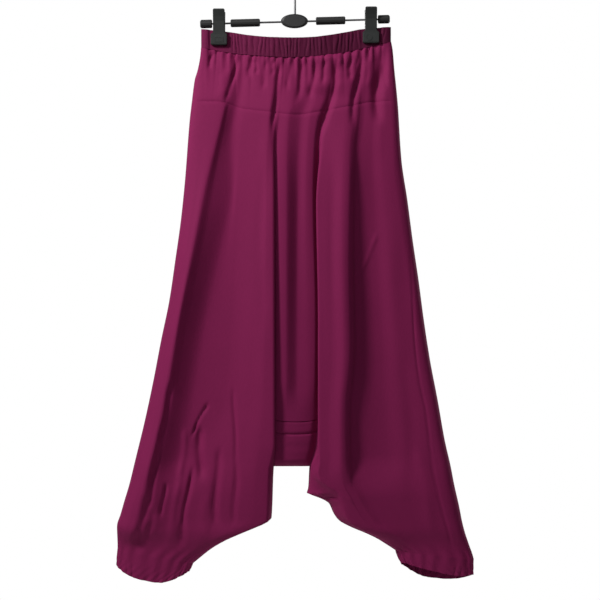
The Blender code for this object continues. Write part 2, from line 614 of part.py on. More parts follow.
def wall(name, points, normals, thickness, colour, ring=False, raised=0.0):
    """A closed sheet: the points moved out and in by half the thickness, and its rims."""
    rows, columns = points.shape[:2]
    half = thickness / 2
    lift = half + np.broadcast_to(raised, (rows, columns))[..., None]
    outer = (points + normals * lift).reshape(-1, 3)
    inner = (points - normals * half).reshape(-1, 3)
    count = rows * columns
    steps = columns if ring else columns - 1
    faces = []
    for row in range(rows - 1):
        for column in range(steps):
            right = (column + 1) % columns
            a, b = row * columns + column, row * columns + right
            c, d = b + columns, a + columns
            faces.append((a, b, c, d))
            faces.append((d + count, c + count, b + count, a + count))
    for row_start in (0, (rows - 1) * columns):
        for column in range(steps):
            a, b = row_start + column, row_start + (column + 1) % columns
            faces.append((a, a + count, b + count, b))
    if not ring:
        for column in (0, columns - 1):
            for row in range(rows - 1):
                a, b = row * columns + column, (row + 1) * columns + column
                faces.append((a, b, b + count, a + count))
    return solid(name, np.concatenate([outer, inner]), faces, colour, CLOTH_ROUGHNESS)


def material(name, colour, roughness, metallic):
    made = bpy.data.materials.new(name)
    made.use_nodes = True
    shader = made.node_tree.nodes["Principled BSDF"]
    shader.inputs["Base Color"].default_value = (*colour, 1.0)
    shader.inputs["Roughness"].default_value = roughness
    shader.inputs["Metallic"].default_value = metallic
    made.diffuse_color = (*colour, 1.0)
    return made


def solid(name, points, faces, colour, roughness, metallic=0.0):
    """A mesh object from points in millimetres, with its faces turned to point out."""
    mesh = bpy.data.meshes.new(name)
    mesh.from_pydata([tuple(p) for p in np.asarray(points) * METRE], [], faces)
    work = bmesh.new()
    work.from_mesh(mesh)
    bmesh.ops.recalc_face_normals(work, faces=work.faces)
    work.to_mesh(mesh)
    work.free()
    mesh.shade_smooth()
    mesh.set_sharp_from_angle(angle=math.radians(50))
    made = bpy.data.objects.new(name, mesh)
    bpy.context.collection.objects.link(made)
    mesh.materials.append(material(name + "_finish", colour, roughness, metallic))
    return made


def build_waistband(side, name):
    """The gathered elastic casing: ruches are raised outside, over a plain inside."""
    ends = np.array([0.0, 0.5, 2.0, 5.0])
    middle = np.linspace(BAND_LEFT + 9, BAND_RIGHT - 9, 2 * BAND_RUCHES + 1)
    across = np.concatenate([BAND_LEFT + ends, middle, BAND_RIGHT - ends[::-1]])

    def point(x, v):
        y = side * band_depth(x, BAND_LEFT, BAND_RIGHT)
        return np.stack([x, y, -mix(along(BAND_TOP, x), along(BAND_BOTTOM, x), v)], axis=-1)

    down = np.array([0.0, 0.18, 0.6, 1.0])
    points, normals = grid_of(point, across, down)
    normals = outward(side, normals)
    for column in (0, -1):
        level_ends(normals, 1.0, column)
    points[:, [0, -1], 1] = side * SEAM
    for row in (0, -1):
        square_seam(normals, row)
    pull_in(points, (SEAM, SEAM), axis_last=False)
    ruche = np.where(np.arange(len(across)) % 2 == 0, 1.0, 0.0)
    clear_of_pad = ease((np.abs(np.abs(across) - CLIP_X) - CLIP_HALF_PAD - 1) / 5.0)
    clear_of_end = ease((np.minimum(across - BAND_LEFT, BAND_RIGHT - across) - 5) / 6.0)
    strength = np.array([0.3, 0.8, 1.0, 0.9])[:, None]
    raised = BAND_RUCHE_RISE * strength * ruche * clear_of_pad * clear_of_end
    return wall(name, points, normals, BAND_CLOTH, PLUM_DARK, raised=raised)


def outward(side, normals):
    """Grid normals turned to the outside, which is -Y at the front."""
    return normals * (1.0 if np.sum(normals[..., 1]) * side > 0 else -1.0)


def build_yoke(side, name, spacing):
    across = knot_steps(side, "left_seam", "right_seam", spacing, 170)
    down = np.array(YOKE_ROWS)
    points, normals = grid_of(lambda s, v: yoke_point(side, s, v), across, down)
    normals = outward(side, normals)
    for column in (0, -1):
        level_ends(normals, 1.0, column)
    points[:, [0, -1], 1] = side * SEAM
    for row in (0, -1):
        square_seam(normals, row)
    pull_in(points, (SEAM, SEAM), axis_last=False)
    return wall(name, points, normals, CLOTH, PLUM)


def build_leg_panel(side, leg, name, spacing, levels):
    """One leg's front or back, from the yoke seam to the ankle seam."""
    ends = ("left_seam", "left_inner_seam") if leg == "left" else ("right_inner_seam",
                                                                  "right_seam")
    across = knot_steps(side, *ends, spacing, 600)
    down = np.array(levels)
    points, normals = grid_of(lambda s, v: panel_point(side, s, v, leg), across, down)
    normals = outward(side, normals)
    inner, outer = (-1, 0) if leg == "left" else (0, -1)
    split = leg_split(down)
    level_ends(normals, np.ones(len(down)), outer)
    level_ends(normals, split, inner)
    points[:, outer, 1] = side * SEAM
    tube = down >= CROTCH_BOTTOM
    points[tube, inner, 1] = side * SEAM
    sideways = np.where(tube, 0.0, SEAM)
    amounts = (0.0, sideways) if leg == "left" else (sideways, 0.0)
    square_seam(normals, 0)
    square_seam(normals, -1, ankle_down(leg))
    pull_in(points, amounts, axis_last=True)
    pull_in(points, (SEAM, SEAM), axis_last=False)
    return wall(name, points, normals, CLOTH, PLUM)


def build_centre_panel(side, name, levels):
    across = knot_steps(side, "left_inner_seam", "right_inner_seam", 12.0, 600)
    down = np.array(levels)
    points, normals = grid_of(lambda s, v: panel_point(side, s, v, None), across, down)
    for row in (0, -1):
        square_seam(normals, row)
    pull_in(points, (SEAM, SEAM), axis_last=True)
    pull_in(points, (SEAM, SEAM), axis_last=False)
    return wall(name, points, outward(side, normals), CLOTH, PLUM)


def path_of(drop):
    """The gusset's path length to a drop above its turn."""
    return CROTCH_TURN * math.pi / 2 + TURN_START - drop


def build_crotch_strip(name, path):
    """The crotch band or the gusset, a stretch of the path under the crotch."""
    across = np.linspace(0.0, 1.0, 9)
    down = np.array(path)
    points, normals = grid_of(gusset_point, across, down)
    normals *= 1.0 if normals[0, 4, 1] < 0 else -1.0
    beside_tube = ease(2 * leg_split(-points[:, 0, 2]))
    for row in (0, -1):
        square_seam(normals, row)
    pull_in(points, (mix(GUSSET_CLEARANCE, WALL_CLEARANCE, beside_tube),) * 2, axis_last=True)
    pull_in(points, (SEAM, SEAM), axis_last=False)
    return wall(name, points, normals, CLOTH, PLUM)


def build_cuff(leg, name):
    """The ankle casing, one gathered tube."""
    count = 34
    angles = np.linspace(0.0, 2 * math.pi, count, endpoint=False)

    def point(angle, v):
        return ankle_point(leg, angle, np.ones(len(v)), v * hem_length(leg, angle))

    points, normals = grid_of(point, angles, np.array([0.0, 0.35, 0.7, 1.0]))
    normals *= 1.0 if normals[0, count // 4, 1] < 0 else -1.0
    square_seam(normals, 0, ankle_down(leg))
    pull_in(points, (SEAM, 0.0), axis_last=False)
    return wall(name, points, normals, CLOTH, PLUM_DARK, ring=True)


def turned(name, profile, segments, colour, roughness, metallic=0.0):
    """A solid turned about its own X axis from (position, radius) points."""
    closed = profile[0][1] > 0
    points, faces, starts = [], [], []
    for position, radius in profile:
        starts.append(len(points))
        if radius == 0:
            points.append((position, 0.0, 0.0))
            continue
        for step in range(segments):
            angle = 2 * math.pi * step / segments
            points.append((position, radius * math.cos(angle), radius * math.sin(angle)))
    links = list(zip(range(len(profile) - 1), range(1, len(profile))))
    if closed:
        links.append((len(profile) - 1, 0))
    for here, there in links:
        for step in range(segments):
            on = (step + 1) % segments
            a = starts[here] + (step if profile[here][1] else 0)
            b = starts[here] + (on if profile[here][1] else 0)
            c = starts[there] + (on if profile[there][1] else 0)
            d = starts[there] + (step if profile[there][1] else 0)
            faces.append(tuple(dict.fromkeys((a, b, c, d))))
    return solid(name, points, faces, colour, roughness, metallic)


def bar_drop(x):
    return BAR_DROP - BAR_TILT * x


def on_bar(made, x):
    """Places a piece on the bar, in line with it."""
    made.location = (x * METRE, 0.0, -bar_drop(x) * METRE)
    made.rotation_euler = (0.0, -math.atan(BAR_TILT), 0.0)
    return made


def build_bar():
    end, edge = BAR_HALF, 0.5
    profile = [(-end, 0), (-end, BAR_RADIUS - edge), (-end + edge, BAR_RADIUS),
               (end - edge, BAR_RADIUS), (end, BAR_RADIUS - edge), (end, 0)]
    return on_bar(turned("bar", profile, 10, STEEL, 0.35, 0.8), 0.0)


def build_grip(name, x):
    half, hole = GRIP_LENGTH / 2, BAR_RADIUS + RUNNING
    profile = [(-half, hole), (-half, GRIP_RADIUS - 1.5), (-half + 1.5, GRIP_RADIUS),
               (half - 1.5, GRIP_RADIUS), (half, GRIP_RADIUS - 1.5), (half, hole)]
    return on_bar(turned(name, profile, 14, BLACK, 0.6), x)


def build_cap(name, x, outward_x):
    """An end cap: a cup whose mouth takes the end of the bar."""
    half, hole = CAP_LENGTH / 2, BAR_RADIUS + RUNNING
    floor = BAR_HALF + RUNNING - abs(x)
    profile = [(floor, 0), (floor, hole), (-half, hole), (-half, CAP_RADIUS - 1.2),
               (-half + 1.2, CAP_RADIUS), (half - 2.0, CAP_RADIUS), (half, CAP_RADIUS - 2.0),
               (half, 0)]
    profile = [(position * outward_x, radius) for position, radius in profile]
    return on_bar(turned(name, profile, 14, BLACK, 0.6), x)


def build_badge():
    """The oval plate at the middle of the bar, domed a little and drilled for the bar."""
    rings = [(-1.0, 0.80), (-0.75, 0.94), (-0.3, 1.0), (0.3, 1.0), (0.75, 0.94), (1.0, 0.80)]
    segments = 32
    points, faces = [], []
    for depth, scale in rings:
        for step in range(segments):
            angle = 2 * math.pi * step / segments
            points.append((BADGE_HALF_WIDTH * scale * math.cos(angle),
                           BADGE_HALF_THICKNESS * depth,
                           BADGE_HALF_HEIGHT * scale * math.sin(angle)))
    for ring in range(len(rings) - 1):
        for step in range(segments):
            a, b = ring * segments + step, ring * segments + (step + 1) % segments
            faces.append((a, b, b + segments, a + segments))
    faces.append(tuple(range(segments)))
    faces.append(tuple(range((len(rings) - 1) * segments, len(rings) * segments)))
    badge = solid("badge", points, faces, BLACK, 0.5)
    badge.location = (BADGE_X * METRE, 0.0, -BADGE_DROP * METRE)
    hole = BAR_RADIUS + RUNNING
    length = BADGE_HALF_WIDTH + 4
    cutter = turned("badge_hole", [(-length, 0), (-length, hole), (length, hole),
                                   (length, 0)], 12, BLACK, 0.5)
    on_bar(cutter, BADGE_X)
    cutter.hide_render = True
    cutter.display_type = "WIRE"
    drill = badge.modifiers.new("bar_hole", "BOOLEAN")
    drill.operation = "DIFFERENCE"
    drill.object = cutter
    return badge


def build_hook():
    """The wire hook: an open circle, a reverse bend into the stem, and the stem."""
    radius = HOOK_INNER_RADIUS + HOOK_WIRE
    centre = -HOOK_INNER_RADIUS
    points = []
    for step in range(17):
        angle = math.radians(205 - step * (205 + 40) / 16)
        points.append((radius * math.cos(angle), centre + radius * math.sin(angle)))
    start_x, start_z = points[-1]
    for step in range(1, 7):
        t = step / 6
        bend = t * t * (3 - 2 * t)
        points.append((start_x * (1 - bend), mix(start_z, -STEM_TOP, t)))
    stem_end = -(BADGE_DROP - BADGE_HALF_HEIGHT) + RUNNING
    points.append((0.0, stem_end))
    curve = bpy.data.curves.new("hook", "CURVE")
    curve.dimensions = "3D"
    curve.bevel_depth = HOOK_WIRE * METRE
    curve.bevel_resolution = 2
    curve.use_fill_caps = True
    spline = curve.splines.new("POLY")
    spline.points.add(len(points) - 1)
    for target, (x, z) in zip(spline.points, points):
        target.co = (x * METRE, 0.0, z * METRE, 1.0)
    hook = bpy.data.objects.new("hook", curve)
    bpy.context.collection.objects.link(hook)
    curve.materials.append(material("hook_finish", STEEL, 0.35, 0.8))
    return hook


def build_jaw(name, side, x, raise_by):
    points, faces = [], []
    for drop, half, near, far in JAW_SECTIONS:
        for across, away in ((-half, near), (half, near), (half, far - 1), (half - 1, far),
                             (1 - half, far), (-half, far - 1)):
            points.append((x + across, side * away, raise_by - drop))
    corners = 6
    for ring in range(len(JAW_SECTIONS) - 1):
        for corner in range(corners):
            a, b = ring * corners + corner, ring * corners + (corner + 1) % corners
            faces.append((a, b, b + corners, a + corners))
    faces.append(tuple(range(corners)))
    faces.append(tuple(range(len(points) - corners, len(points))))
    return solid(name, points, faces, BLACK, 0.55)


def build_sleeve(name, x):
    half, hole = SLEEVE_LENGTH / 2, BAR_RADIUS + RUNNING
    profile = [(-half, hole), (-half, SLEEVE_RADIUS), (half, SLEEVE_RADIUS), (half, hole)]
    return on_bar(turned(name, profile, 14, BLACK, 0.55), x)


def build_clip(word, x, raise_by):
    return [build_jaw(f"clip_{word}_front_jaw", FRONT, x, raise_by),
            build_jaw(f"clip_{word}_back_jaw", BACK, x, raise_by),
            build_sleeve(f"clip_{word}_sleeve", x)]


def build_cloth():
    made = [build_waistband(FRONT, "waistband_front"), build_waistband(BACK, "waistband_back"),
            build_yoke(FRONT, "yoke_front", 5.6), build_yoke(BACK, "yoke_back", 9.0)]
    made.append(build_leg_panel(FRONT, "left", "front_left_panel", 14.0, FRONT_LEVELS))
    made.append(build_leg_panel(FRONT, "right", "front_right_panel", 16.0,
                                FRONT_CORNER_LEVELS))
    made.append(build_leg_panel(BACK, "left", "back_left_panel", 18.0, BACK_LEVELS))
    made.append(build_leg_panel(BACK, "right", "back_right_panel", 18.0,
                                BACK_CORNER_LEVELS))
    made.append(build_centre_panel(FRONT, "front_centre_panel", FRONT_ROWS))
    made.append(build_centre_panel(BACK, "back_centre_panel", BACK_ROWS))
    seam, turn = path_of(BAND_SEAM), path_of(TURN_START)
    straight = np.linspace(seam, turn, 4)
    gusset = [*-straight, *np.linspace(-turn, turn, 11)[1:-1], *straight[::-1]]
    made.append(build_crotch_strip("crotch_band", (-path_of(CROTCH_SEAM), -seam)))
    made.append(build_crotch_strip("crotch_gusset", gusset))
    made.append(build_cuff("left", "cuff_left"))
    made.append(build_cuff("right", "cuff_right"))
    return made


def build_hanger():
    made = [build_hook(), build_bar(), build_badge()]
    made.append(build_grip("grip_left", GRIP_LEFT_X))
    made.append(build_grip("grip_right", GRIP_RIGHT_X))
    made.append(build_cap("cap_left", CAP_LEFT_X, -1))
    made.append(build_cap("cap_right", CAP_RIGHT_X, 1))
    made.extend(build_clip("left", -CLIP_X, 0.0))
    made.extend(build_clip("right", CLIP_X, RIGHT_CLIP_RAISE))
    return made


def main():
    for old in list(bpy.data.objects):
        bpy.data.objects.remove(old, do_unlink=True)
    holder = bpy.data.objects.new("pants_on_hanger", None)
    bpy.context.collection.objects.link(holder)
    for piece in build_cloth() + build_hanger():
        piece.parent = holder


main()
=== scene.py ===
"""Looks of the drop-crotch wide-leg pants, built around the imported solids.

Lengths are millimetres and are turned into metres where a mesh is made. X runs across the
garment, the front faces -Y, and the origin is the inner crown of the hook. "drop" is the
distance straight down from that crown, so Z is minus the drop.

Each side of the cloth is one surface, the one the solids follow, sampled finely and with
creases, gathers and ruches added. A panel is a thin closed shell over a stretch of it.
"""

import math

import bmesh
import bpy
import numpy as np
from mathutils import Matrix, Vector

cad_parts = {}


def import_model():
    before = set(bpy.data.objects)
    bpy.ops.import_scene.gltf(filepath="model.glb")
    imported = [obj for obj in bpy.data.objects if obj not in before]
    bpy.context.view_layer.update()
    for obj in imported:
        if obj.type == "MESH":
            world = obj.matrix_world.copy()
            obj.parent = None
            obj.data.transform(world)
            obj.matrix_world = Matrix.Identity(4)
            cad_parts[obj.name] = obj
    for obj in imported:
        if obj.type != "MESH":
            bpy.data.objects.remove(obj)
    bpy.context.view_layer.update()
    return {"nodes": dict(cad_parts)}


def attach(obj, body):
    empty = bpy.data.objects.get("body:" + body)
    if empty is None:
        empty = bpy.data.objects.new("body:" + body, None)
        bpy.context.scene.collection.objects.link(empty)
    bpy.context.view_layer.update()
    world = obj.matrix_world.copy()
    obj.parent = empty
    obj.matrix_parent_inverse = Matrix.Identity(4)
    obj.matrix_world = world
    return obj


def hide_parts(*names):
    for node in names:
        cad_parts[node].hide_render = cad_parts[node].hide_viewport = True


METRE = 0.001
FRONT = -1.0
BACK = 1.0

# Keeps a division by a length or slope of nothing from failing
TINY = 1e-12

# How far a piece's edge is held back from its seam line. Below 0, so that neighbours
# overlap a little and no light shows through
SEAM = -0.2

# Waistband: its ends, and its two edges as (x, drop), which sag between the clips
BAND_LEFT = -158.5
BAND_RIGHT = 162.0
BAND_TOP = [(-160, 96), (-112, 101.2), (-75, 107.4), (-40, 110.9), (0, 111.7), (30, 110.7),
            (56, 107.4), (90, 101), (112, 96.5), (163, 92.5)]
BAND_BOTTOM = [(-160, 127), (-95, 138.2), (-10, 144.5), (78, 136.8), (104, 130.9),
               (162, 117.5)]
BAND_BOTTOM_MIDDLE = 144.5
BAND_OPEN_DEPTH = 9.0
BAND_END_DEPTH = 3.6
BAND_PINCH_DEPTH = 1.5
BAND_END_ROUNDING = 9.0
BAND_END_LENGTH = 8.0
BAND_GAPE_START = 3.0
BAND_GAPE_LENGTH = 75.0

# Broad gathers under the waistband. Here and below, waves that make something uneven are
# a steady value and then rows of height, rate and start
YOKE_GATHER_PITCH = 14.0
YOKE_GATHER_RISE = 2.2
YOKE_GATHER_FADE = 0.30
YOKE_GATHER_DRIFT = (0.0, (1.3, 1 / 23, 0.0))
YOKE_GATHER_UNEVEN = (0.65, (0.35, 1 / 17, 1.0))
YOKE_GATHER_START = 6.0
YOKE_GATHER_CLEARING = 12.0

# Clips, measured from the middle of the garment
CLIP_X = 129.0
CLIP_HALF_PAD = 14.0

# Crotch: the two seams, the bottom, and the radius of the turn to the back
CROTCH_SEAM = 757.5
CROTCH_SEAM_SAG = 3.0
SAG_START = 700.0
SAG_START_LENGTH = 50.0
SAG_END_LENGTH = 30.0
BAND_SEAM = 779.5
CROTCH_BOTTOM = 838.0
CROTCH_TURN = 15.0
TURN_START = CROTCH_BOTTOM - CROTCH_TURN
CENTRE_FULLNESS = {FRONT: (0.66, 0.40), BACK: (0.50, 0.50)}
CENTRE_TILT = 2.5
CENTRE_FLAT_START = 690.0
CENTRE_FLAT_LENGTH = 60.0

# Yoke seams, as (x, drop)
YOKE_SEAM_LINE = {
    FRONT: [(-190, 220), (-130, 221), (-85, 233), (-38, 239), (0, 243), (45, 237),
            (95, 228), (136, 220), (190, 219)],
    BACK: [(-190, 220), (-130, 222), (-65, 231), (0, 235), (65, 231), (130, 221),
           (190, 219)],
}
YOKE_SEAM_MIDDLE = 243.0
YOKE_SEAM_FADE = 150.0

# Lines that run down the garment, as (drop, x)
LINES = {
    "left": [(90, -158.5), (131, -159.5), (148, -161.5), (165, -165), (182, -170),
             (199, -172.5), (216, -174.5), (250, -178.5), (352, -186.5),
             (420, -193.5), (488, -203), (556, -213), (624, -227), (692, -240), (760, -254.5),
             (828, -271), (869, -281), (899, -290), (920, -296), (940, -302), (976, -301),
             (1000, -304), (1022, -303)],
    "right": [(90, 162), (112, 162.5), (131, 165.5), (165, 168.5), (199, 172), (233, 175),
              (250, 176), (318, 180.5), (386, 190.5), (454, 199.5), (522, 209.5), (590, 218.5),
              (658, 229), (726, 242), (794, 254), (838, 264), (869, 270), (909, 279),
              (930, 283), (950, 288), (971, 295), (991, 302), (1003, 304.5), (1022, 305)],
    "left_inner": [(148, -17), (182, -24), (216, -29), (250, -32), (301, -35), (760, -34),
                   (828, -34), (840, -36.5), (926, -40.3), (931, -46), (940, -66),
                   (950, -90), (962, -116), (977, -141), (996, -165), (1012, -184),
                   (1022, -196)],
    "right_inner": [(148, 67), (216, 56), (250, 45), (301, 39), (386, 36), (590, 40),
                    (740, 38), (800, 33), (838, 25), (874, 23), (885, 20.5), (888, 31),
                    (895, 49), (901, 58), (918, 66), (930, 75), (940, 93), (950, 117),
                    (960, 138), (971, 156), (981, 171), (996, 186), (1012, 204)],
    "broad_fold": [(148, -99), (216, -110), (301, -127), (437, -151), (590, -181),
                   (743, -207), (862, -236), (964, -253)],
    "low_crease": [(148, -74), (301, -92), (640, -112), (734, -124), (828, -167),
                   (896, -184), (926, -188)],
    "centre": [(148, 14), (216, 12), (250, 2), (340, -2), (838, -4)],
    "strip_left": [(148, 65), (216, 53), (250, 42), (301, 38), (386, 36), (590, 39),
                   (828, 39), (845, 36), (854, 38), (870, 54), (880, 68), (895, 76),
                   (910, 80), (930, 90), (950, 128), (980, 184), (1012, 220)],
    "strip_right": [(148, 116), (182, 109), (250, 104), (301, 98), (488, 96), (641, 98),
                    (743, 90), (862, 92), (896, 106), (930, 128)],
}

# How far each side stands from the middle plane where it is fullest, as (drop, depth)
FULLNESS = {
    FRONT: [(120, 10), (170, 15), (243, 23), (386, 31), (556, 35), (838, 36), (930, 31),
            (975, 23), (1005, 17)],
    BACK: [(120, 10), (170, 14), (243, 20), (386, 26), (556, 29), (838, 30), (930, 27),
           (975, 21), (1005, 17)],
}

# Heights at which the folds of the table below are given
HEIGHTS = (243, 400, 740)

# A row for each knot of the front section, left to right: the line it lies on, or two lines
# and its share of the way between them, its offset at the yoke and lower down, and its
# fullness at HEIGHTS.
FRONT_KNOTS = [
    # name, place, offset_high, offset_low, full_high, full_middle, full_low
    ("left_seam", "left", 0, 0, 0.0, 0.0, 0.0),
    ("left_turn", "left", 0.9, 0.9, 0.26, 0.26, 0.26),
    ("left_curve", "left", 4, 5, 0.54, 0.56, 0.56),
    ("left_rise", "left", 12, 16, 0.72, 0.70, 0.70),
    ("left_face", ("left", "broad_fold", 0.5), 0, 0, 0.86, 0.78, 0.80),
    ("broad_ridge", "broad_fold", -9, -14, 0.94, 0.88, 0.90),
    ("broad_fold", "broad_fold", 1, 2, 0.74, 0.66, 0.66),
    ("broad_valley", "broad_fold", 14, 33, 0.58, 0.44, 0.42),
    ("low_crease", "low_crease", 0, 0, 0.70, 0.52, 0.50),
    ("left_ridge", ("low_crease", "left_inner", 0.5), 0, 0, 0.88, 0.76, 0.76),
    ("left_flat", ("low_crease", "left_inner", 0.8), 0, 0, 0.98, 0.96, 0.94),
    ("left_crest", "left_inner", -5, -3.2, 0.92, 0.98, 0.98),
    ("left_edge", "left_inner", -1.5, 0.5, 0.88, 0.90, 0.90),
    ("left_under", "left_inner", 1.5, -4.0, 0.82, 0.78, 0.76),
    ("left_inner_seam", "left_inner", 5, -2.0, 0.78, 0.70, 0.66),
    ("centre_left", "left_inner", 12, 7, 0.82, 0.80, 0.72),
    ("centre_ridge", ("left_inner", "centre", 0.60), 0, 0, 0.86, 0.84, 0.72),
    ("centre_fold", "centre", 8, 8, 0.68, 0.54, 0.54),
    ("centre_rise", ("centre", "right_inner", 0.55), 0, 0, 0.78, 0.60, 0.54),
    ("centre_right", "right_inner", -9, -6.5, 0.76, 0.55, 0.50),
    ("right_inner_seam", "right_inner", 0, 2.0, 0.62, 0.18, 0.18),
    ("strip_under", "strip_left", 5, 6.5, 0.66, 0.50, 0.50),
    ("strip_edge", "strip_left", 8, 0.0, 0.68, 0.82, 0.82),
    ("strip_crest", "strip_left", 12, 2.2, 0.72, 0.88, 0.88),
    ("strip_left", ("strip_left", "strip_right", 0.35), 0, 0, 0.80, 0.88, 0.90),
    ("strip_ridge", ("strip_left", "strip_right", 0.72), 0, 0, 0.88, 0.98, 1.00),
    ("strip_fall", "strip_right", -8, -8, 0.84, 0.95, 0.96),
    ("strip_outer", "strip_right", 0, 0, 0.72, 0.80, 0.80),
    ("strip_tuck", "strip_right", 6, 5, 0.60, 0.62, 0.60),
    ("right_valley", "strip_right", 14, 17, 0.54, 0.54, 0.50),
    ("right_slope", ("strip_right", "right", 0.38), 0, 0, 0.54, 0.51, 0.46),
    ("right_swell", ("strip_right", "right", 0.6), 0, 0, 0.62, 0.56, 0.54),
    ("right_rise", "right", -13, -18, 0.60, 0.56, 0.56),
    ("right_curve", "right", -4, -5, 0.46, 0.44, 0.44),
    ("right_turn", "right", -0.9, -0.9, 0.24, 0.22, 0.22),
    ("right_seam", "right", 0, 0, 0.0, 0.0, 0.0),
]

# The same for the back, seen through the garment, so the left is at the left here too
BACK_KNOTS = [
    ("left_seam", "left", 0, 0, 0.0, 0.0, 0.0),
    ("left_turn", "left", 0.9, 0.9, 0.24, 0.22, 0.22),
    ("left_curve", "left", 4, 5, 0.50, 0.47, 0.45),
    ("left_rise", "left", 12, 16, 0.76, 0.74, 0.72),
    ("left_face", ("left", "broad_fold", 0.6), 0, 0, 0.96, 1.00, 1.00),
    ("left_fold", ("left", "broad_fold", 1.0), 0, 14, 0.70, 0.74, 0.72),
    ("left_ridge", ("broad_fold", "left_inner", 0.36), 0, 0, 0.98, 1.02, 1.04),
    ("soft_fold", ("broad_fold", "left_inner", 0.62), 0, 0, 0.86, 0.84, 0.80),
    ("left_flat", ("broad_fold", "left_inner", 0.84), 0, 0, 1.00, 1.04, 1.04),
    ("left_crest", "left_inner", -4, -3.2, 0.84, 0.92, 0.92),
    ("left_edge", "left_inner", -1.5, 0.0, 0.76, 0.78, 0.78),
    ("left_under", "left_inner", 1.5, -3.5, 0.68, 0.64, 0.64),
    ("left_inner_seam", "left_inner", 5, -2.0, 0.62, 0.52, 0.50),
    ("centre_left", "left_inner", 12, 9, 0.66, 0.50, 0.48),
    ("centre_fold", "centre", 0, 0, 0.60, 0.44, 0.48),
    ("centre_right", "right_inner", -9, -10, 0.68, 0.50, 0.48),
    ("right_inner_seam", "right_inner", 0, 0, 0.62, 0.52, 0.50),
    ("strip_under", "strip_left", 5, 5.5, 0.68, 0.66, 0.66),
    ("strip_edge", "strip_left", 8, 1.0, 0.76, 0.80, 0.80),
    ("strip_crest", "strip_left", 13, 4.5, 0.88, 0.94, 0.94),
    ("strip_ridge", ("strip_left", "strip_right", 0.6), 0, 0, 1.02, 1.08, 1.06),
    ("right_valley", "strip_right", 5, 8, 0.74, 0.74, 0.74),
    ("right_swell", ("strip_right", "right", 0.5), 0, 0, 0.92, 1.00, 1.00),
    ("right_rise", "right", -13, -18, 0.78, 0.78, 0.76),
    ("right_curve", "right", -4, -5, 0.50, 0.47, 0.45),
    ("right_turn", "right", -0.9, -0.9, 0.24, 0.22, 0.22),
    ("right_seam", "right", 0, 0, 0.0, 0.0, 0.0),
]
KNOTS = {FRONT: FRONT_KNOTS, BACK: BACK_KNOTS}

# Below the crotch each leg is a tube of its own, and the fold wall beside the set-back
# panel becomes its inner side: knot, place, offset and fullness there
INNER_WALL = {
    "left_crest": ("left_inner", -8, 0.92),
    "left_edge": ("left_inner", -3, 0.72),
    "left_under": ("left_inner", -0.9, 0.38),
    "left_inner_seam": ("left_inner", 0, 0.0),
    "right_inner_seam": ("right_inner", 0, 0.0),
    "strip_under": (("right_inner", "strip_left", 0.12), 1.0, 0.34),
    "strip_edge": (("right_inner", "strip_left", 0.5), 3, 0.62),
    "strip_crest": (("right_inner", "strip_left", 1.0), 3, 0.92),
}
SPLIT_START = 798.0
SPLIT_LENGTH = 38.0

# The long folds run out between these drops, to the fullness given for each knot
FOLD_END = 816.0
FOLD_END_LENGTH = 74.0
FOLD_OUT = {
    "broad_ridge": 0.90, "broad_fold": 0.78, "broad_valley": 0.68, "low_crease": 0.70,
    "left_ridge": 0.84, "strip_left": 0.96, "strip_ridge": 0.98, "strip_fall": 0.97,
    "strip_outer": 0.96, "strip_tuck": 0.95, "right_valley": 0.87, "right_slope": 0.76,
    "right_swell": 0.70, "right_rise": 0.62,
}

# Legs narrow from here to the ankle seams, and their rows tilt to follow them
NARROWING = 926.0
TAPER_LEVELS = 60.0
ANKLES = {
    "left": {"outer": "left", "inner": "left_inner", "seam_outer": 978.0,
             "seam_inner": 1003.0, "length": 43.5, "depth": 15.0, "gathers": 17,
             "front_lift": 1.0, "hem_belly": 1.0, "taper_outer": 0.10, "taper_inner": 0.28,
             "corner_outer": 15.0, "corner_inner": 29.0},
    "right": {"outer": "right", "inner": "right_inner", "seam_outer": 996.0,
              "seam_inner": 981.0, "length": 41.0, "depth": 15.0, "gathers": 17,
              "front_lift": 15.0, "hem_belly": 1.0, "taper_outer": -0.06,
              "taper_inner": 0.45, "corner_outer": 14.0, "corner_inner": 18.0},
}
TAPER_POWER = 1.3
ROUNDING_START = 0.25
GATHER_RISE = 0.7
GATHER_START = 0.55
GATHER_DRIFT = (0.0, (0.8, 3, 0.0))
GATHER_SLACK = 0.35
GATHER_CLEARING = 0.35
ANKLE_ROUNDNESS = 0.8
HEM_FLATNESS = 0.12

# Rows of the panels, as drops; below NARROWING they are the rows that tilt to the ankle
TAPER_ROWS = (939.0, 954.0, 970.0, 986.0)
CROTCH_ROWS = (800.0, 823.0, 829.0, 834.0, 838.0, 850.0)
FRONT_ROWS = (243.0, 265.0, 305.0, 370.0, 470.0, 600.0, 700.0, 757.5)
BACK_ROWS = (243.0, 300.0, 400.0, 560.0, 700.0, 779.5)
CORNER_ROWS = (868.0, 884.0, 888.0, 896.0, 908.0, 926.0)
FRONT_LEVELS = (*FRONT_ROWS, BAND_SEAM, *CROTCH_ROWS, 890.0, 926.0, *TAPER_ROWS)
FRONT_CORNER_LEVELS = (*FRONT_ROWS, BAND_SEAM, *CROTCH_ROWS, *CORNER_ROWS, *TAPER_ROWS)
BACK_LEVELS = (*BACK_ROWS, *CROTCH_ROWS, 890.0, 926.0, *TAPER_ROWS)
BACK_CORNER_LEVELS = (*BACK_ROWS, *CROTCH_ROWS, *CORNER_ROWS, *TAPER_ROWS)

# Share of a grid step over which a surface's direction is measured
DIFFERENCE = 0.02

# Thickness of the shells in the render
SHELL = 1.0
BAND_SHELL = 2.0

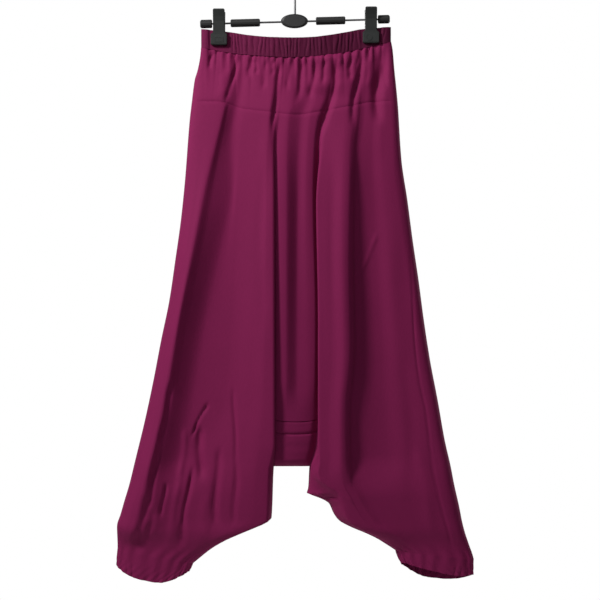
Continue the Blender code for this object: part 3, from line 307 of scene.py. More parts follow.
# How far apart their points lie, and at which drop that is measured across a panel
BAND_ACROSS = 0.8
BAND_END_STEPS = np.array([0.0, 0.4, 1.0, 2.0, 3.4, 5.0, 7.0])
YOKE_ACROSS = 1.6
YOKE_ACROSS_AT = 170
LEG_ACROSS = 1.9
CENTRE_ACROSS = 2.0
PANEL_ACROSS_AT = 600
PANEL_DOWN = 4.0
STRIP_DOWN = 2.0
STRIP_COLUMNS = 30
CUFF_COLUMNS = 420
CUFF_ROWS = 30

# Degrees over which an edge is drawn sharp
SHARP_CLOTH = 62
SHARP_PLASTIC = 40

# Ruches of the elastic band, and its own seam
RUCHE_PITCH = 7.0
RUCHE_HEIGHT = 1.7
RUCHE_WANDER = (0.0, (2.4, 1 / 19, 0.0), (1.7, 1 / 7.3, 1.0))
RUCHE_LEAN = (0.0, (3.2, 1 / 11, 0.5))
RUCHE_KINK = (0.0, (0.8, 1 / 4.1, 0.0))
RUCHE_STEADY = 0.72
BAND_SEAM_X = 11.5
BAND_SEAM_WIDTH = 2.2

# Short gathers that hang from the band
GATHER_PITCH = 10.4
GATHER_GROOVE = 2.1
GATHER_DEPTH = 2.4
GATHER_SHIFT = (0.0, (2.2, 2.3, 0.0))
GATHER_LENGTH = (19.0, (11.0, 2.4, 0.6))
GATHER_UNEVEN = (0.7, (0.3, 1.7, 0.0))
GATHER_LEAN = (0.0, (0.05, 1.1, 0.0))

# Dip of the cloth along a seam, and how many times as deep it is at two of them
SEAM_DIP = 0.8
SEAM_DIP_WIDTH = 1.8
SIDE_SEAM_DIPS = 1.6
CROTCH_SEAM_DIPS = 2.4

# Folds of the ankle casings, 13 pairs round each, whose heights and places are uneven
CUFF_RISE = 1.2
CUFF_FOLDS = 13
CUFF_WANDER = (0.0, (1.9, 3, 0.4), (1.2, 7, 0.0))
CUFF_TWIST = (0.0, (0.9, 5, 0.0))

# Depth of the dark groove between the set-back panel and the narrow strip
CORNER_GROOVE = 5.0
CORNER_GROOVE_START = 0.84

# Marks moulded on the clips' front pads: X, drop, half width, half height and corners
PAD_FACE = 8.0
MARK_RISE = 0.9
MARK_LINE = 1.2
PAD_MARKS = {
    "clip_left_mark": (-129.5, 114.5, 7.6, 4.2, 4),
    "clip_right_mark": (125.5, 110.5, 5.4, 5.4, 32),
}

# Creases wobble by a share of their width and are uneven in depth by a share of their
# height. They rise over the first share of their length and fade over the last.
CREASE_WOBBLE = 0.22
CREASE_UNEVEN = 0.2
CREASE_RISE = 0.18
CREASE_FADE = 0.30
CREASE_END = 0.05

# Creases and dips keep clear of the side seams and run out into the ankle gathers
RELIEF_START = 5.0
RELIEF_CLEARING = 14.0
RELIEF_END = NARROWING + 20
RELIEF_END_LENGTH = 35.0

# A distance at which nothing is left of a seam's dip
FAR = 99.0

# Creases of each side: where one starts and ends, how far its middle bows to +X, its height
# (negative for a trough), its width, and how much higher its +X side stands
FRONT_CREASES = [
    # x, drop, end_x, end_drop, bow, height, width, skew
    (-95, 141, -121, 232, 2, -2.6, 4.0, -0.5),
    (-138, 133, -147, 166, 0, -2.4, 4.0, -0.5),
    (-158, 140, -162, 190, 0, -1.2, 5.0, 0.0),
    (-112, 160, -128, 218, 0, 1.2, 7.0, 0.0),
    (-76, 146, -80, 182, 0, -2.2, 4.0, 0.3),
    (-66, 147, -64, 176, 0, -2.0, 3.4, -0.3),
    (-49, 148, -56, 206, 0, -1.8, 4.6, 0.2),
    (-36, 149, -38, 178, 0, -1.8, 3.4, -0.4),
    (-22, 149, -37, 282, -2, -3.4, 4.6, -0.4),
    (-8, 150, -14, 205, 0, -1.8, 4.2, 0.3),
    (14, 150, 2, 226, 2, -3.0, 5.0, -0.3),
    (36, 149, 24, 220, 2, -2.8, 4.6, -0.3),
    (52, 147, 44, 196, 0, -1.8, 4.0, 0.3),
    (74, 147, 38, 290, 6, -4.8, 5.4, -0.5),
    (85, 118, 80, 215, 0, 4.2, 46.0, -0.8),
    (76, 145, 70, 188, 0, 2.0, 4.0, 0.0),
    (95, 145, 92, 186, 0, -3.2, 4.4, -0.4),
    (106, 141, 104, 172, 0, -2.0, 3.4, -0.2),
    (118, 140, 97, 266, -4, -4.6, 5.4, -0.5),
    (128, 138, 124, 200, 0, 1.4, 4.5, 0.0),
    (150, 130, 141, 262, -2, -6.8, 9.0, -0.7),
    (156, 124, 154, 200, 0, -3.4, 5.0, -0.4),
    (-56, 300, -58, 640, 0, -1.2, 9.0, 0.4),
    (-138, 290, -290, 1100, -8, 5.0, 40.0, 0.0),
    (102, 230, 97, 960, 0, 4.6, 36.0, -0.8),
    (-204, 690, -227, 812, -1, -3.2, 5.0, -0.6),
    (-226, 792, -248, 915, 1, -3.6, 5.0, -0.5),
    (-246, 880, -272, 985, 2, -3.8, 7.0, -0.4),
    (-144, 728, -176, 792, -2, -2.6, 2.8, -0.7),
    (-163, 766, -158, 866, 2, -4.4, 6.5, -0.4),
    (-170, 832, -196, 1000, -2, -4.0, 4.2, -0.6),
    (-184, 770, -195, 870, 1, 1.6, 5.0, 0.0),
    (-194, 850, -214, 985, 0, 1.4, 5.5, 0.0),
    (-126, 800, -136, 965, -1, -4.0, 5.2, -0.4),
    (-104, 700, -98, 850, 1, -2.4, 3.4, -0.3),
    (-96, 825, -103, 940, 0, -2.8, 3.6, -0.4),
    (-215, 862, -227, 925, 0, -2.8, 3.4, -0.4),
    (-178, 868, -186, 930, 0, 1.0, 3.0, 0.0),
    (-150, 880, -158, 975, 1, 1.0, 7.0, 0.0),
    (-240, 905, -256, 975, 2, -2.2, 6.0, 0.4),
    (141, 440, 101, 522, 2, 0.9, 3.4, 0.3),
    (104, 486, 98, 520, 0, -1.8, 3.2, 0.0),
    (150, 300, 172, 700, 4, 1.4, 16.0, 0.0),
    (64, 300, 66, 760, 0, -1.2, 9.0, 0.3),
    (28, 848, 72, 880, 1, 1.6, 3.2, 0.3),
    (26, 886, 66, 877, 1, 1.4, 2.6, 0.0),
    (40, 892, 76, 884, 1, -5.5, 4.6, 0.0),
    (72, 880, 100, 897, 0, 0.9, 3.0, 0.0),
    (206, 800, 232, 962, 4, 1.2, 10.0, 0.0),
    (186, 640, 198, 930, 2, -1.0, 12.0, 0.3),
]
BACK_CREASES = [
    (-96, 140, -118, 226, 2, -2.4, 5.0, 0.7),
    (-40, 148, -52, 206, 0, -1.8, 4.5, -0.4),
    (20, 150, 26, 232, 0, -2.4, 6.0, 0.4),
    (72, 146, 58, 216, 2, -2.2, 5.0, -0.6),
    (118, 140, 128, 232, 0, -2.0, 5.0, 0.5),
    (-140, 134, -146, 176, 0, -1.5, 4.0, 0.3),
    (-92, 300, -116, 640, 5, 1.5, 15.0, 0.0),
    (-62, 420, -70, 720, 0, -1.3, 10.0, 0.4),
    (-158, 700, -196, 930, -5, -2.6, 9.0, 0.4),
    (-112, 760, -136, 940, 0, -1.8, 8.0, -0.3),
    (84, 330, 96, 700, 3, 1.5, 14.0, 0.0),
    (142, 360, 176, 720, 5, -1.6, 12.0, 0.3),
    (110, 800, 176, 940, 6, -2.0, 8.0, 0.4),
    (66, 850, 120, 910, 3, 1.5, 7.0, -0.4),
    (196, 720, 236, 930, 4, -1.7, 10.0, -0.3),
]
CREASES = {FRONT: FRONT_CREASES, BACK: BACK_CREASES}

# The right leg's side seam, which lies a little to the front, as (drop, x)
SIDE_SEAM = [(250, 172), (386, 188), (513, 197), (607, 201), (692, 210), (743, 221),
             (828, 231), (879, 241), (938, 256), (964, 263)]

# Colours of the cloth, lit and in its deeper patches. The band's deeper colour is also its
# painted shade: the band is painted darker towards its +X end
CLOTH_LIT = (0.276, 0.0135, 0.098)
CLOTH_DEEP = (0.215, 0.0104, 0.076)
BAND_LIT = (0.270, 0.0132, 0.097)
BAND_DEEP_AND_SHADE = (0.100, 0.0045, 0.036)

# Each sheet's cut, in metres: width, length, area and what it hangs from
SHEETS = {
    "waistband_front": (0.42, 0.037, 0.0150, "clip_left_front_jaw"),
    "waistband_back": (0.42, 0.037, 0.0150, "clip_left_back_jaw"),
    "yoke_front": (0.44, 0.105, 0.040, "waistband_front_cloth"),
    "yoke_back": (0.44, 0.105, 0.038, "waistband_back_cloth"),
    "front_left_panel": (0.30, 0.79, 0.178, "yoke_front_cloth"),
    "front_right_panel": (0.30, 0.79, 0.176, "yoke_front_cloth"),
    "back_left_panel": (0.30, 0.79, 0.172, "yoke_back_cloth"),
    "back_right_panel": (0.30, 0.79, 0.162, "yoke_back_cloth"),
    "front_centre_panel": (0.10, 0.53, 0.040, "yoke_front_cloth"),
    "back_centre_panel": (0.10, 0.56, 0.042, "yoke_back_cloth"),
    "crotch_band": (0.075, 0.024, 0.0017, "front_centre_panel_cloth"),
    "crotch_gusset": (0.075, 0.14, 0.0088, "crotch_band_cloth"),
    "cuff_left": (0.34, 0.042, 0.0118, "front_left_panel_cloth"),
    "cuff_right": (0.34, 0.042, 0.0108, "front_right_panel_cloth"),
}

# Studio, in metres
WHITE = (1.0, 1.0, 1.0, 1.0)
AMBIENT = 0.10
LIGHT_TARGET = (0.0, 0.0, -0.50)
LIGHTS = [
    # name, place, size, power
    ("key", (-1.42, -0.93, 0.86), 0.34, 40.5),
    ("fill", (-0.1, -1.5, 0.75), 0.9, 4.1),
    ("rim", (1.7, 0.9, -0.3), 0.8, 11.0),
    ("back", (-0.9, 2.3, 0.7), 1.2, 34.0),
]
FLOOR_SIZE = (1.6, 1.2)
FLOOR_Z = -1.52
FLOOR_COLOUR = (0.86, 0.86, 0.85)
CAMERA_PLACE = (0.0085, -2.41, -0.556)
CAMERA_LENS = 85.06
CAMERA_SENSOR = 36.0


def along(table, at):
    """A smooth line through the table's points, which never overshoots them."""
    known = np.array([row[0] for row in table], float)
    value = np.array([row[1] for row in table], float)
    slope = np.diff(value) / np.diff(known)
    tangent = np.concatenate([slope[:1], meeting_slope(slope[:-1], slope[1:]), slope[-1:]])
    at = np.clip(np.asarray(at, float), known[0], known[-1])
    index = np.clip(np.searchsorted(known, at, side="right") - 1, 0, len(slope) - 1)
    width = known[index + 1] - known[index]
    return hermite((at - known[index]) / width, value[index], value[index + 1],
                   tangent[index] * width, tangent[index + 1] * width)


def meeting_slope(a, b):
    """The tangent where two steps meet: none at a turn, else between the two."""
    total = np.where(np.abs(a + b) > TINY, a + b, 1.0)
    return np.where(a * b > 0, 2 * a * b / total, 0.0)


def hermite(t, start, end, leave, arrive):
    """The cubic between two values with the given tangents."""
    t2 = t * t
    t3 = t2 * t
    return ((2 * t3 - 3 * t2 + 1) * start + (t3 - 2 * t2 + t) * leave
            + (3 * t2 - 2 * t3) * end + (t3 - t2) * arrive)


def ease(t):
    """Smooth step from 0 to 1."""
    t = np.clip(t, 0.0, 1.0)
    return t * t * (3 - 2 * t)


def mix(a, b, share):
    return a + (b - a) * share


def unit(vectors):
    """The same directions at length 1."""
    return vectors / np.maximum(np.linalg.norm(vectors, axis=-1, keepdims=True), TINY)


def waves(at, steady, *rows):
    """A steady value with waves on it, each of a height, a rate and a start."""
    return steady + sum(height * np.sin(rate * at + start) for height, rate, start in rows)


def place_x(lines, place):
    """X of a line, or of a share of the way from one line to another."""
    if isinstance(place, str):
        return lines[place]
    start, end, share = place
    return mix(lines[start], lines[end], share)


def band_depth(x, left, right):
    """The waist gapes between the clips, is pinched in them and rounds off at its ends."""
    reach = np.abs(x)
    middle = ease((CLIP_X - CLIP_HALF_PAD - BAND_GAPE_START - reach) / BAND_GAPE_LENGTH)
    ends = ease((reach - CLIP_X - CLIP_HALF_PAD) / BAND_END_LENGTH)
    depth = mix(BAND_PINCH_DEPTH, BAND_OPEN_DEPTH, middle)
    depth = mix(depth, BAND_END_DEPTH, ends)
    closing = np.clip(np.minimum(x - left, right - x) / BAND_END_ROUNDING, 0.0, 1.0)
    return depth * np.sqrt(1 - (1 - closing) ** 2)


def crotch_turn(drop):
    """1 above the turn under the crotch, falling to 0 at the bottom along a quarter circle."""
    t = np.clip((drop - TURN_START) / CROTCH_TURN, 0.0, 1.0)
    return np.sqrt(1 - t * t)


def leg_split(drop):
    """0 where the two legs are one piece of cloth, 1 where each is a tube of its own."""
    return ease((drop - SPLIT_START) / SPLIT_LENGTH)


def knot_places(side, drop):
    """Where every knot of one side lies at each drop: two arrays, knots by drops."""
    drop = np.asarray(drop, float)
    held = np.minimum(drop, NARROWING)
    low = ease((drop - HEIGHTS[0]) / (HEIGHTS[1] - HEIGHTS[0]))
    split = leg_split(drop)
    run_out = ease((drop - FOLD_END) / FOLD_END_LENGTH)
    full = along(FULLNESS[side], drop)
    lines = {name: along(table, held) for name, table in LINES.items()}
    places, depths = [], []
    for name, place, offset_high, offset_low, *fullness in KNOTS[side]:
        x = place_x(lines, place) + mix(offset_high, offset_low, low)
        part = along(list(zip(HEIGHTS, fullness)), drop)
        if side == FRONT:
            part = mix(part, FOLD_OUT.get(name, part), run_out)
        if name in INNER_WALL:
            place, offset, tube_part = INNER_WALL[name]
            x = mix(x, place_x(lines, place) + offset, split)
            if not name.endswith("inner_seam"):
                part = mix(part, tube_part, split)
        places.append(x)
        depths.append(part * full)
    places, depths = np.array(places), np.array(depths)
    left, right = inner_seams(side)
    share = (places[left:right + 1] - places[left]) / (places[right] - places[left])
    flat = centre_depth(side, drop, share)
    flatness = ease((drop - CENTRE_FLAT_START) / CENTRE_FLAT_LENGTH)
    centre = mix(depths[left:right + 1], flat, flatness)
    depths[left:right + 1] = centre * crotch_turn(drop)
    return narrowed(side, drop, places), depths


def knot_index(side, name):
    return [row[0] for row in KNOTS[side]].index(name)


def inner_seams(side):
    """The knots at which the left leg ends and the right leg starts."""
    return knot_index(side, "left_inner_seam"), knot_index(side, "right_inner_seam")


def narrowed(side, drop, places):
    """Towards the ankles each leg's knots keep their shares of the leg's own width."""
    below = drop > NARROWING
    result = places.copy()
    left_end, right_start = inner_seams(side)
    spans = ((slice(0, left_end + 1), "left", "left_inner"),
             (slice(right_start, len(places)), "right_inner", "right"))
    for span, first, last in spans:
        old_first, old_last = along(LINES[first], NARROWING), along(LINES[last], NARROWING)
        new_first, new_last = along(LINES[first], drop), along(LINES[last], drop)
        share = (places[span] - old_first) / (old_last - old_first)
        squeezed = new_first + share * (new_last - new_first)
        result[span] = np.where(below, squeezed, places[span])
    return result


def section_point(side, s, drop):
    """X and Y at knot position s (a knot's number, or between two) at each drop."""
    places, depths = knot_places(side, drop)
    last = len(places) - 1
    index = np.clip(s.astype(int), 0, last - 1)
    t = s - index
    column = np.arange(len(s))
    split = leg_split(drop)
    left_seam, right_seam = inner_seams(side)
    leave_alone = np.where((index == 0) | (index == right_seam), 1.0, 0.0)
    leave_alone = np.where(index == right_seam, split, leave_alone)
    arrive_alone = np.where(index == last - 1, 1.0, 0.0)
    arrive_alone = np.where(index == left_seam - 1, split, arrive_alone)

    def through(values):
        here, there = values[index, column], values[index + 1, column]
        step = there - here
        back = here - values[np.maximum(index - 1, 0), column]
        on = values[np.minimum(index + 2, last), column] - there
        leave = mix(meeting_slope(back, step), step, leave_alone)
        arrive = mix(meeting_slope(step, on), step, arrive_alone)
        return hermite(t, here, there, leave, arrive)

    return through(places), side * through(depths)


def yoke_share(side, x, drop):
    """0 at the waistband, 1 at the yoke seam and below it."""
    top = along(BAND_BOTTOM, x)
    return np.clip((drop - top) / (along(YOKE_SEAM_LINE[side], x) - top), 0.0, 1.0)


def surface(side, s, drop):
    """Points of one side of the garment, with the yoke led into the waistband."""
    x, y = section_point(side, s, drop)
    v = yoke_share(side, x, drop)
    at_band = side * band_depth(x, along(LINES["left"], drop), along(LINES["right"], drop))
    y = mix(at_band, y, np.sin(v * math.pi / 2))
    wave = np.sin(x * 2 * math.pi / YOKE_GATHER_PITCH + waves(x, *YOKE_GATHER_DRIFT))
    uneven = waves(x, *YOKE_GATHER_UNEVEN)
    fade = np.exp(-v / YOKE_GATHER_FADE) * (1 - v) * ease(v / 0.06 + 0.25)
    from_end = np.minimum(x - BAND_LEFT, BAND_RIGHT - x)
    clear = ease((from_end - YOKE_GATHER_START) / YOKE_GATHER_CLEARING)
    y = y + side * YOKE_GATHER_RISE * wave * uneven * fade * clear
    return np.stack([x, y, -drop], axis=-1)


def yoke_point(side, s, v):
    """A yoke point, v running from the waistband seam to the yoke seam."""
    drop = mix(BAND_BOTTOM_MIDDLE, YOKE_SEAM_MIDDLE, v)
    for _ in range(3):
        x, _ = section_point(side, s, drop)
        drop = mix(along(BAND_BOTTOM, x), along(YOKE_SEAM_LINE[side], x), v)
    return surface(side, s, drop)


def sag(share, level):
    """How much lower the crotch seams lie between their ends."""
    starting = ease((level - SAG_START) / SAG_START_LENGTH)
    ending = 1 - ease((level - BAND_SEAM) / SAG_END_LENGTH)
    return CROTCH_SEAM_SAG * starting * ending * (1 - (2 * share - 1) ** 2)


def panel_point(side, s, level, leg):
    """A leg or centre panel's point. Level is the drop of a row where the row is level."""
    drop = np.minimum(level, NARROWING)
    held = drop
    fade = 1 - ease((held - YOKE_SEAM_MIDDLE) / YOKE_SEAM_FADE)
    for _ in range(3):
        x, _ = section_point(side, s, drop)
        drop = held + fade * (along(YOKE_SEAM_LINE[side], x) - YOKE_SEAM_MIDDLE)
    if leg is None:
        left = border_x("left_inner_seam", side, drop)
        right = border_x("right_inner_seam", side, drop)
        share = (section_point(side, s, drop)[0] - left) / (right - left)
        return surface(side, s, drop + sag(share, level))
    ankle = ANKLES[leg]
    at_knee, _ = section_point(side, s, np.full(len(s), NARROWING))
    outer_x = along(LINES[ankle["outer"]], NARROWING)
    inner_x = along(LINES[ankle["inner"]], NARROWING)
    share = np.clip((at_knee - outer_x) / (inner_x - outer_x), 0.0, 1.0)
    t = np.maximum(level - NARROWING, 0.0) / TAPER_LEVELS
    seam_drop = mix(ankle["seam_outer"], ankle["seam_inner"], share)
    drop = drop + t * (seam_drop - NARROWING)
    point = surface(side, s, drop)
    angle = np.arccos(1 - 2 * share)
    angle = angle if side == FRONT else 2 * math.pi - angle
    ring = ankle_point(leg, angle, t, np.zeros(len(t)))
    return mix(point, ring, ease((t - ROUNDING_START) / (1 - ROUNDING_START))[:, None])


def ankle_ends(leg, t):
    """The outer and inner ends of a leg's row, t running from the knee to the ankle seam."""
    ankle = ANKLES[leg]
    ends = []
    for line, seam_drop in ((ankle["outer"], ankle["seam_outer"]),
                            (ankle["inner"], ankle["seam_inner"])):
        drop = mix(NARROWING, seam_drop, t)
        ends.append(np.stack([along(LINES[line], drop), 0.0 * drop, -drop], axis=-1))
    return ends


def ankle_down(leg):
    """The way down the casing, square to its seam."""
    outer, inner = ankle_ends(leg, 1.0)
    across = unit(inner - outer)
    down = np.array([across[2], 0.0, -across[0]])
    return down if down[2] < 0 else -down


def ankle_point(leg, angle, t, below):
    """The gathered ankle: angle from its outer end round the front, t down to the seam,
    and then how far below the seam in the casing."""
    ankle = ANKLES[leg]
    outer, inner = ankle_ends(leg, t)
    v = np.clip(below / ankle["length"], 0.0, 1.0)
    cosine, sine = np.cos(angle), np.sin(angle)
    taper = np.where(cosine > 0, ankle["taper_outer"], ankle["taper_inner"])
    round_in = 1 - taper * v ** TAPER_POWER
    gathers = np.sin(angle * ankle["gathers"] + waves(angle, *GATHER_DRIFT))
    held = ease((t - GATHER_START) / (1 - GATHER_START))
    held = held * (1 - GATHER_SLACK * np.sin(v * math.pi))
    ripple = GATHER_RISE * gathers * held * ease(np.abs(sine) / GATHER_CLEARING)
    depth = ankle["depth"] * np.abs(sine) ** ANKLE_ROUNDNESS + ripple
    depth = depth * np.sign(sine) * (1 - HEM_FLATNESS * v)
    point = (outer + inner) / 2 + (-cosine * round_in)[:, None] * (inner - outer) / 2
    point = point + below[:, None] * ankle_down(leg)
    point[:, 1] -= depth
    return point


def hem_length(leg, angle):
    """How far the casing reaches below its seam, all round."""
    ankle = ANKLES[leg]
    sine = np.sin(angle)
    towards_inner = (1 - np.cos(angle)) / 2
    front = np.maximum(sine, 0) * ankle["front_lift"] * (0.5 + towards_inner)
    back = np.maximum(-sine, 0) * ankle["hem_belly"]
    corner = np.where(towards_inner < 0.5, ankle["corner_outer"], ankle["corner_inner"])
    corner = corner * np.abs(np.cos(angle)) ** 3
    return ankle["length"] - front + back - corner


def gusset_point(share, path):
    """The gusset: path 0 at the bottom, negative up the front and positive up the back."""
    side = np.where(path < 0, FRONT, BACK)
    quarter = CROTCH_TURN * math.pi / 2
    reach = np.abs(path)
    turn = np.minimum(reach / quarter, 1.0) * math.pi / 2
    climb = np.maximum(reach - quarter, 0.0)
    drop = TURN_START + CROTCH_TURN * np.cos(turn) - climb
    left = border_x("left_inner_seam", side, drop)
    right = border_x("right_inner_seam", side, drop)
    depth = np.where(path < 0, centre_depth(FRONT, drop, share),
                     centre_depth(BACK, drop, share))
    y = side * depth * np.sin(turn)
    return np.stack([mix(left, right, share), y, -drop - sag(share, drop)], axis=-1)


def border_x(name, side, drop):
    front = knot_places(FRONT, drop)[0][knot_index(FRONT, name)]
    back = knot_places(BACK, drop)[0][knot_index(BACK, name)]
    return np.where(side == FRONT, front, back)


def centre_depth(side, drop, share):
    """How far the flat centre above the crotch stands from the middle plane, at a share of
    its width."""
    depth = mix(*CENTRE_FULLNESS[side], share ** CENTRE_TILT) * along(FULLNESS[side], drop)
    groove = CORNER_GROOVE if side == FRONT else 0.0
    return depth - groove * ease((share - CORNER_GROOVE_START) / (1 - CORNER_GROOVE_START))


def grid_of(point, across, down):
    """Points and unit normals of a surface function over a grid of its two parameters."""
    u, v = np.meshgrid(across, down)
    shape = u.shape
    u, v = u.ravel(), v.ravel()
    step_u = DIFFERENCE * (across[-1] - across[0]) / len(across)
    step_v = DIFFERENCE * (down[-1] - down[0]) / len(down)
    right = point(np.minimum(u + step_u, across[-1]), v)
    left = point(np.maximum(u - step_u, across[0]), v)
    lower = point(u, np.minimum(v + step_v, down[-1]))
    upper = point(u, np.maximum(v - step_v, down[0]))
    normals = unit(np.cross(right - left, lower - upper))
    return point(u, v).reshape(*shape, 3), normals.reshape(*shape, 3)


def close_sides(side, points, normals):
    """Brings a piece's two ends to the side seams, square to them."""
    for column in (0, -1):
        level_ends(normals, 1.0, column)
    points[:, [0, -1], 1] = side * SEAM


def level_ends(normals, weights, column):
    """Turns an end column's normals into the plane of the garment, which squares the seam."""
    normals[:, column, 1] *= 1 - weights
    normals[:, column] = unit(normals[:, column])


def square_seam(normals, row, down=(0.0, 0.0, -1.0)):
    """Turns a seam row's normals square to the seam's own direction down the garment."""
    down = np.array(down)
    normals[row] -= (normals[row] @ down)[:, None] * down
    normals[row] = unit(normals[row])


def pull_in(points, amounts, axis_last):
    """Moves the two ends of every row, or of every column, in along it by the amounts."""
    lines = points if axis_last else points.transpose(1, 0, 2)
    for (end, near), amount in zip(((0, 1), (-1, -2)), amounts):
        step = unit(lines[:, near] - lines[:, end])
        lines[:, end] += step * np.reshape(amount, (-1, 1))


def knot_steps(side, first, last, spacing, drop):
    """Knot positions from one knot to another, no wider apart than the spacing."""
    places, depths = knot_places(side, np.array([float(drop)]))
    start, end = knot_index(side, first), knot_index(side, last)
    found = [float(start)]
    for index in range(start, end):
        across = places[index + 1, 0] - places[index, 0]
        deep = depths[index + 1, 0] - depths[index, 0]
        count = max(1, math.ceil(math.hypot(across, deep) / spacing))
        found.extend(index + (step + 1) / count for step in range(count))
    return np.array(found)


def outward(side, normals):
    """Grid normals turned to the outside, which is -Y at the front."""
    return normals * (1.0 if np.sum(normals[..., 1]) * side > 0 else -1.0)


def crease_relief(side, x, drop):
    """The height that the creases add to one side of the cloth."""
    total = np.zeros(len(x))
    for start_x, start, end_x, end, bow, height, width, skew in CREASES[side]:
        run = np.array([end_x - start_x, end - start], float)
        length = np.linalg.norm(run)
        run /= length
        from_start = np.stack([x - start_x, drop - start], axis=-1)
        t = np.clip(from_start @ run / length, 0.0, 1.0)
        wobble = CREASE_WOBBLE * width * np.sin(9 * t + start_x)
        line_x = start_x + run[0] * length * t + bow * np.sin(math.pi * t) + wobble
        line_drop = start + run[1] * length * t
        off = np.hypot(x - line_x, drop - line_drop) * np.sign(x - line_x)
        fade = ease(np.minimum(t / CREASE_RISE, (1 - t) / CREASE_FADE) + CREASE_END)
        fade *= 1 + CREASE_UNEVEN * np.sin(11 * t + end_x)
        total += height * fade * np.exp(-(off / width) ** 2) * (1 + skew * off / width)
    return total


def yoke_gathers(x, below):
    """Short grooves below the waistband, uneven in depth and length."""
    number = np.round(x / GATHER_PITCH)
    centre = GATHER_PITCH * number + waves(number, *GATHER_SHIFT)
    length = waves(number, *GATHER_LENGTH)
    depth = GATHER_DEPTH * waves(number, *GATHER_UNEVEN)
    off = x - centre - below * waves(number, *GATHER_LEAN)
    return -depth * np.exp(-(off / GATHER_GROOVE) ** 2) * np.exp(-below / length)


def seam_dip(off):
    """The cloth rolls in a little along a seam."""
    return -SEAM_DIP * np.exp(-(off / SEAM_DIP_WIDTH) ** 2)


def relief(side, x, drop):
    """All that is added to the surface of one side, in millimetres outwards."""
    below = np.maximum(drop - along(BAND_BOTTOM, x), 0.0)
    left, right = along(LINES["left"], drop), along(LINES["right"], drop)
    clear = ease((np.minimum(x - left, right - x) - RELIEF_START) / RELIEF_CLEARING)
    yoke = drop - along(YOKE_SEAM_LINE[side], x)
    lift = crease_relief(side, x, drop) * ease(below / 10.0 + 0.2)
    lift += yoke_gathers(x, below) + seam_dip(yoke)
    if side == FRONT:
        seam = np.where(drop > SIDE_SEAM[0][0], x - along(SIDE_SEAM, drop), FAR)
        lift += SIDE_SEAM_DIPS * seam_dip(seam)
    return lift * clear


def fine(spacing):
    """A sample spacing, scaled by a factor that is 1 here."""
    return spacing * 1.0


def steps_down(first, last, spacing):
    return np.linspace(first, last, max(2, math.ceil((last - first) / fine(spacing)) + 1))


def refined(levels, spacing):
    """The solids' own rows, with more between them."""
    found = [levels[0]]
    for start, end in zip(levels[:-1], levels[1:]):
        found.extend(steps_down(start, end, spacing)[1:])
    return np.array(found)


def shell(node_name, points, normals, slot, ring=False, raised=0.0, thickness=SHELL):
    """A closed thin sheet over a grid of points, with texture coordinates in metres."""
    rows, columns = points.shape[:2]
    half = thickness / 2
    lift = half + np.broadcast_to(raised, (rows, columns))[..., None]
    outer = (points + normals * lift).reshape(-1, 3)
    inner = (points + normals * (lift - thickness)).reshape(-1, 3)
    count = rows * columns
    steps = columns if ring else columns - 1
    row, column = np.meshgrid(np.arange(rows - 1), np.arange(steps), indexing="ij")
    a = (row * columns + column).ravel()
    b = (row * columns + (column + 1) % columns).ravel()
    c, d = b + columns, a + columns
    faces = [np.stack([a, b, c, d], 1), np.stack([d, c, b, a], 1) + count]
    for start in (0, (rows - 1) * columns):
        a = start + np.arange(steps)
        b = start + (np.arange(steps) + 1) % columns
        faces.append(np.stack([a, a + count, b + count, b], 1))
    if not ring:
        for side in (0, columns - 1):
            a = np.arange(rows - 1) * columns + side
            b = a + columns
            faces.append(np.stack([a, b, b + count, a + count], 1))
    made = add_piece(node_name + "_cloth", np.concatenate([outer, inner]), faces, slot)
    put_coordinates(made.data, points, count)
    smooth(made.data, SHARP_CLOTH)
    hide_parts(node_name)
    return made


def add_piece(name, points, faces, slot):
    """A visible piece of the part, with its faces turned outwards."""
    mesh = bpy.data.meshes.new(name)
    mesh.from_pydata(points * METRE, [], np.concatenate(faces).tolist())
    work = bmesh.new()
    work.from_mesh(mesh)
    bmesh.ops.recalc_face_normals(work, faces=work.faces)
    work.to_mesh(mesh)
    work.free()
    mesh.materials.append(MATERIALS[slot])
    made = link(name, mesh)
    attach(made, "root")
    return made


def link(name, data):
    """Puts a mesh, light or camera in the scene."""
    made = bpy.data.objects.new(name, data)
    bpy.context.collection.objects.link(made)
    return made


def smooth(mesh, sharp):
    """Smooth shading, apart from edges over so many degrees."""
    mesh.shade_smooth()
    mesh.set_sharp_from_angle(angle=math.radians(sharp))


def put_coordinates(mesh, points, count):
    """Texture coordinates that follow the cloth's own length across and down, in metres."""
    across = np.linalg.norm(np.diff(points, axis=1), axis=-1)
    down = np.linalg.norm(np.diff(points, axis=0), axis=-1)
    u = np.pad(np.cumsum(across, axis=1), ((0, 0), (1, 0))).mean(axis=0)
    v = np.pad(np.cumsum(down, axis=0), ((1, 0), (0, 0))).mean(axis=1)
    grid = np.stack(np.meshgrid(u, v), axis=-1).reshape(-1, 2) * METRE
    grid = np.concatenate([grid, grid])
    layer = mesh.uv_layers.new(name="cloth")
    index = np.empty(len(mesh.loops), np.int32)
    mesh.loops.foreach_get("vertex_index", index)
    layer.data.foreach_set("uv", grid[index].astype(np.float32).ravel())


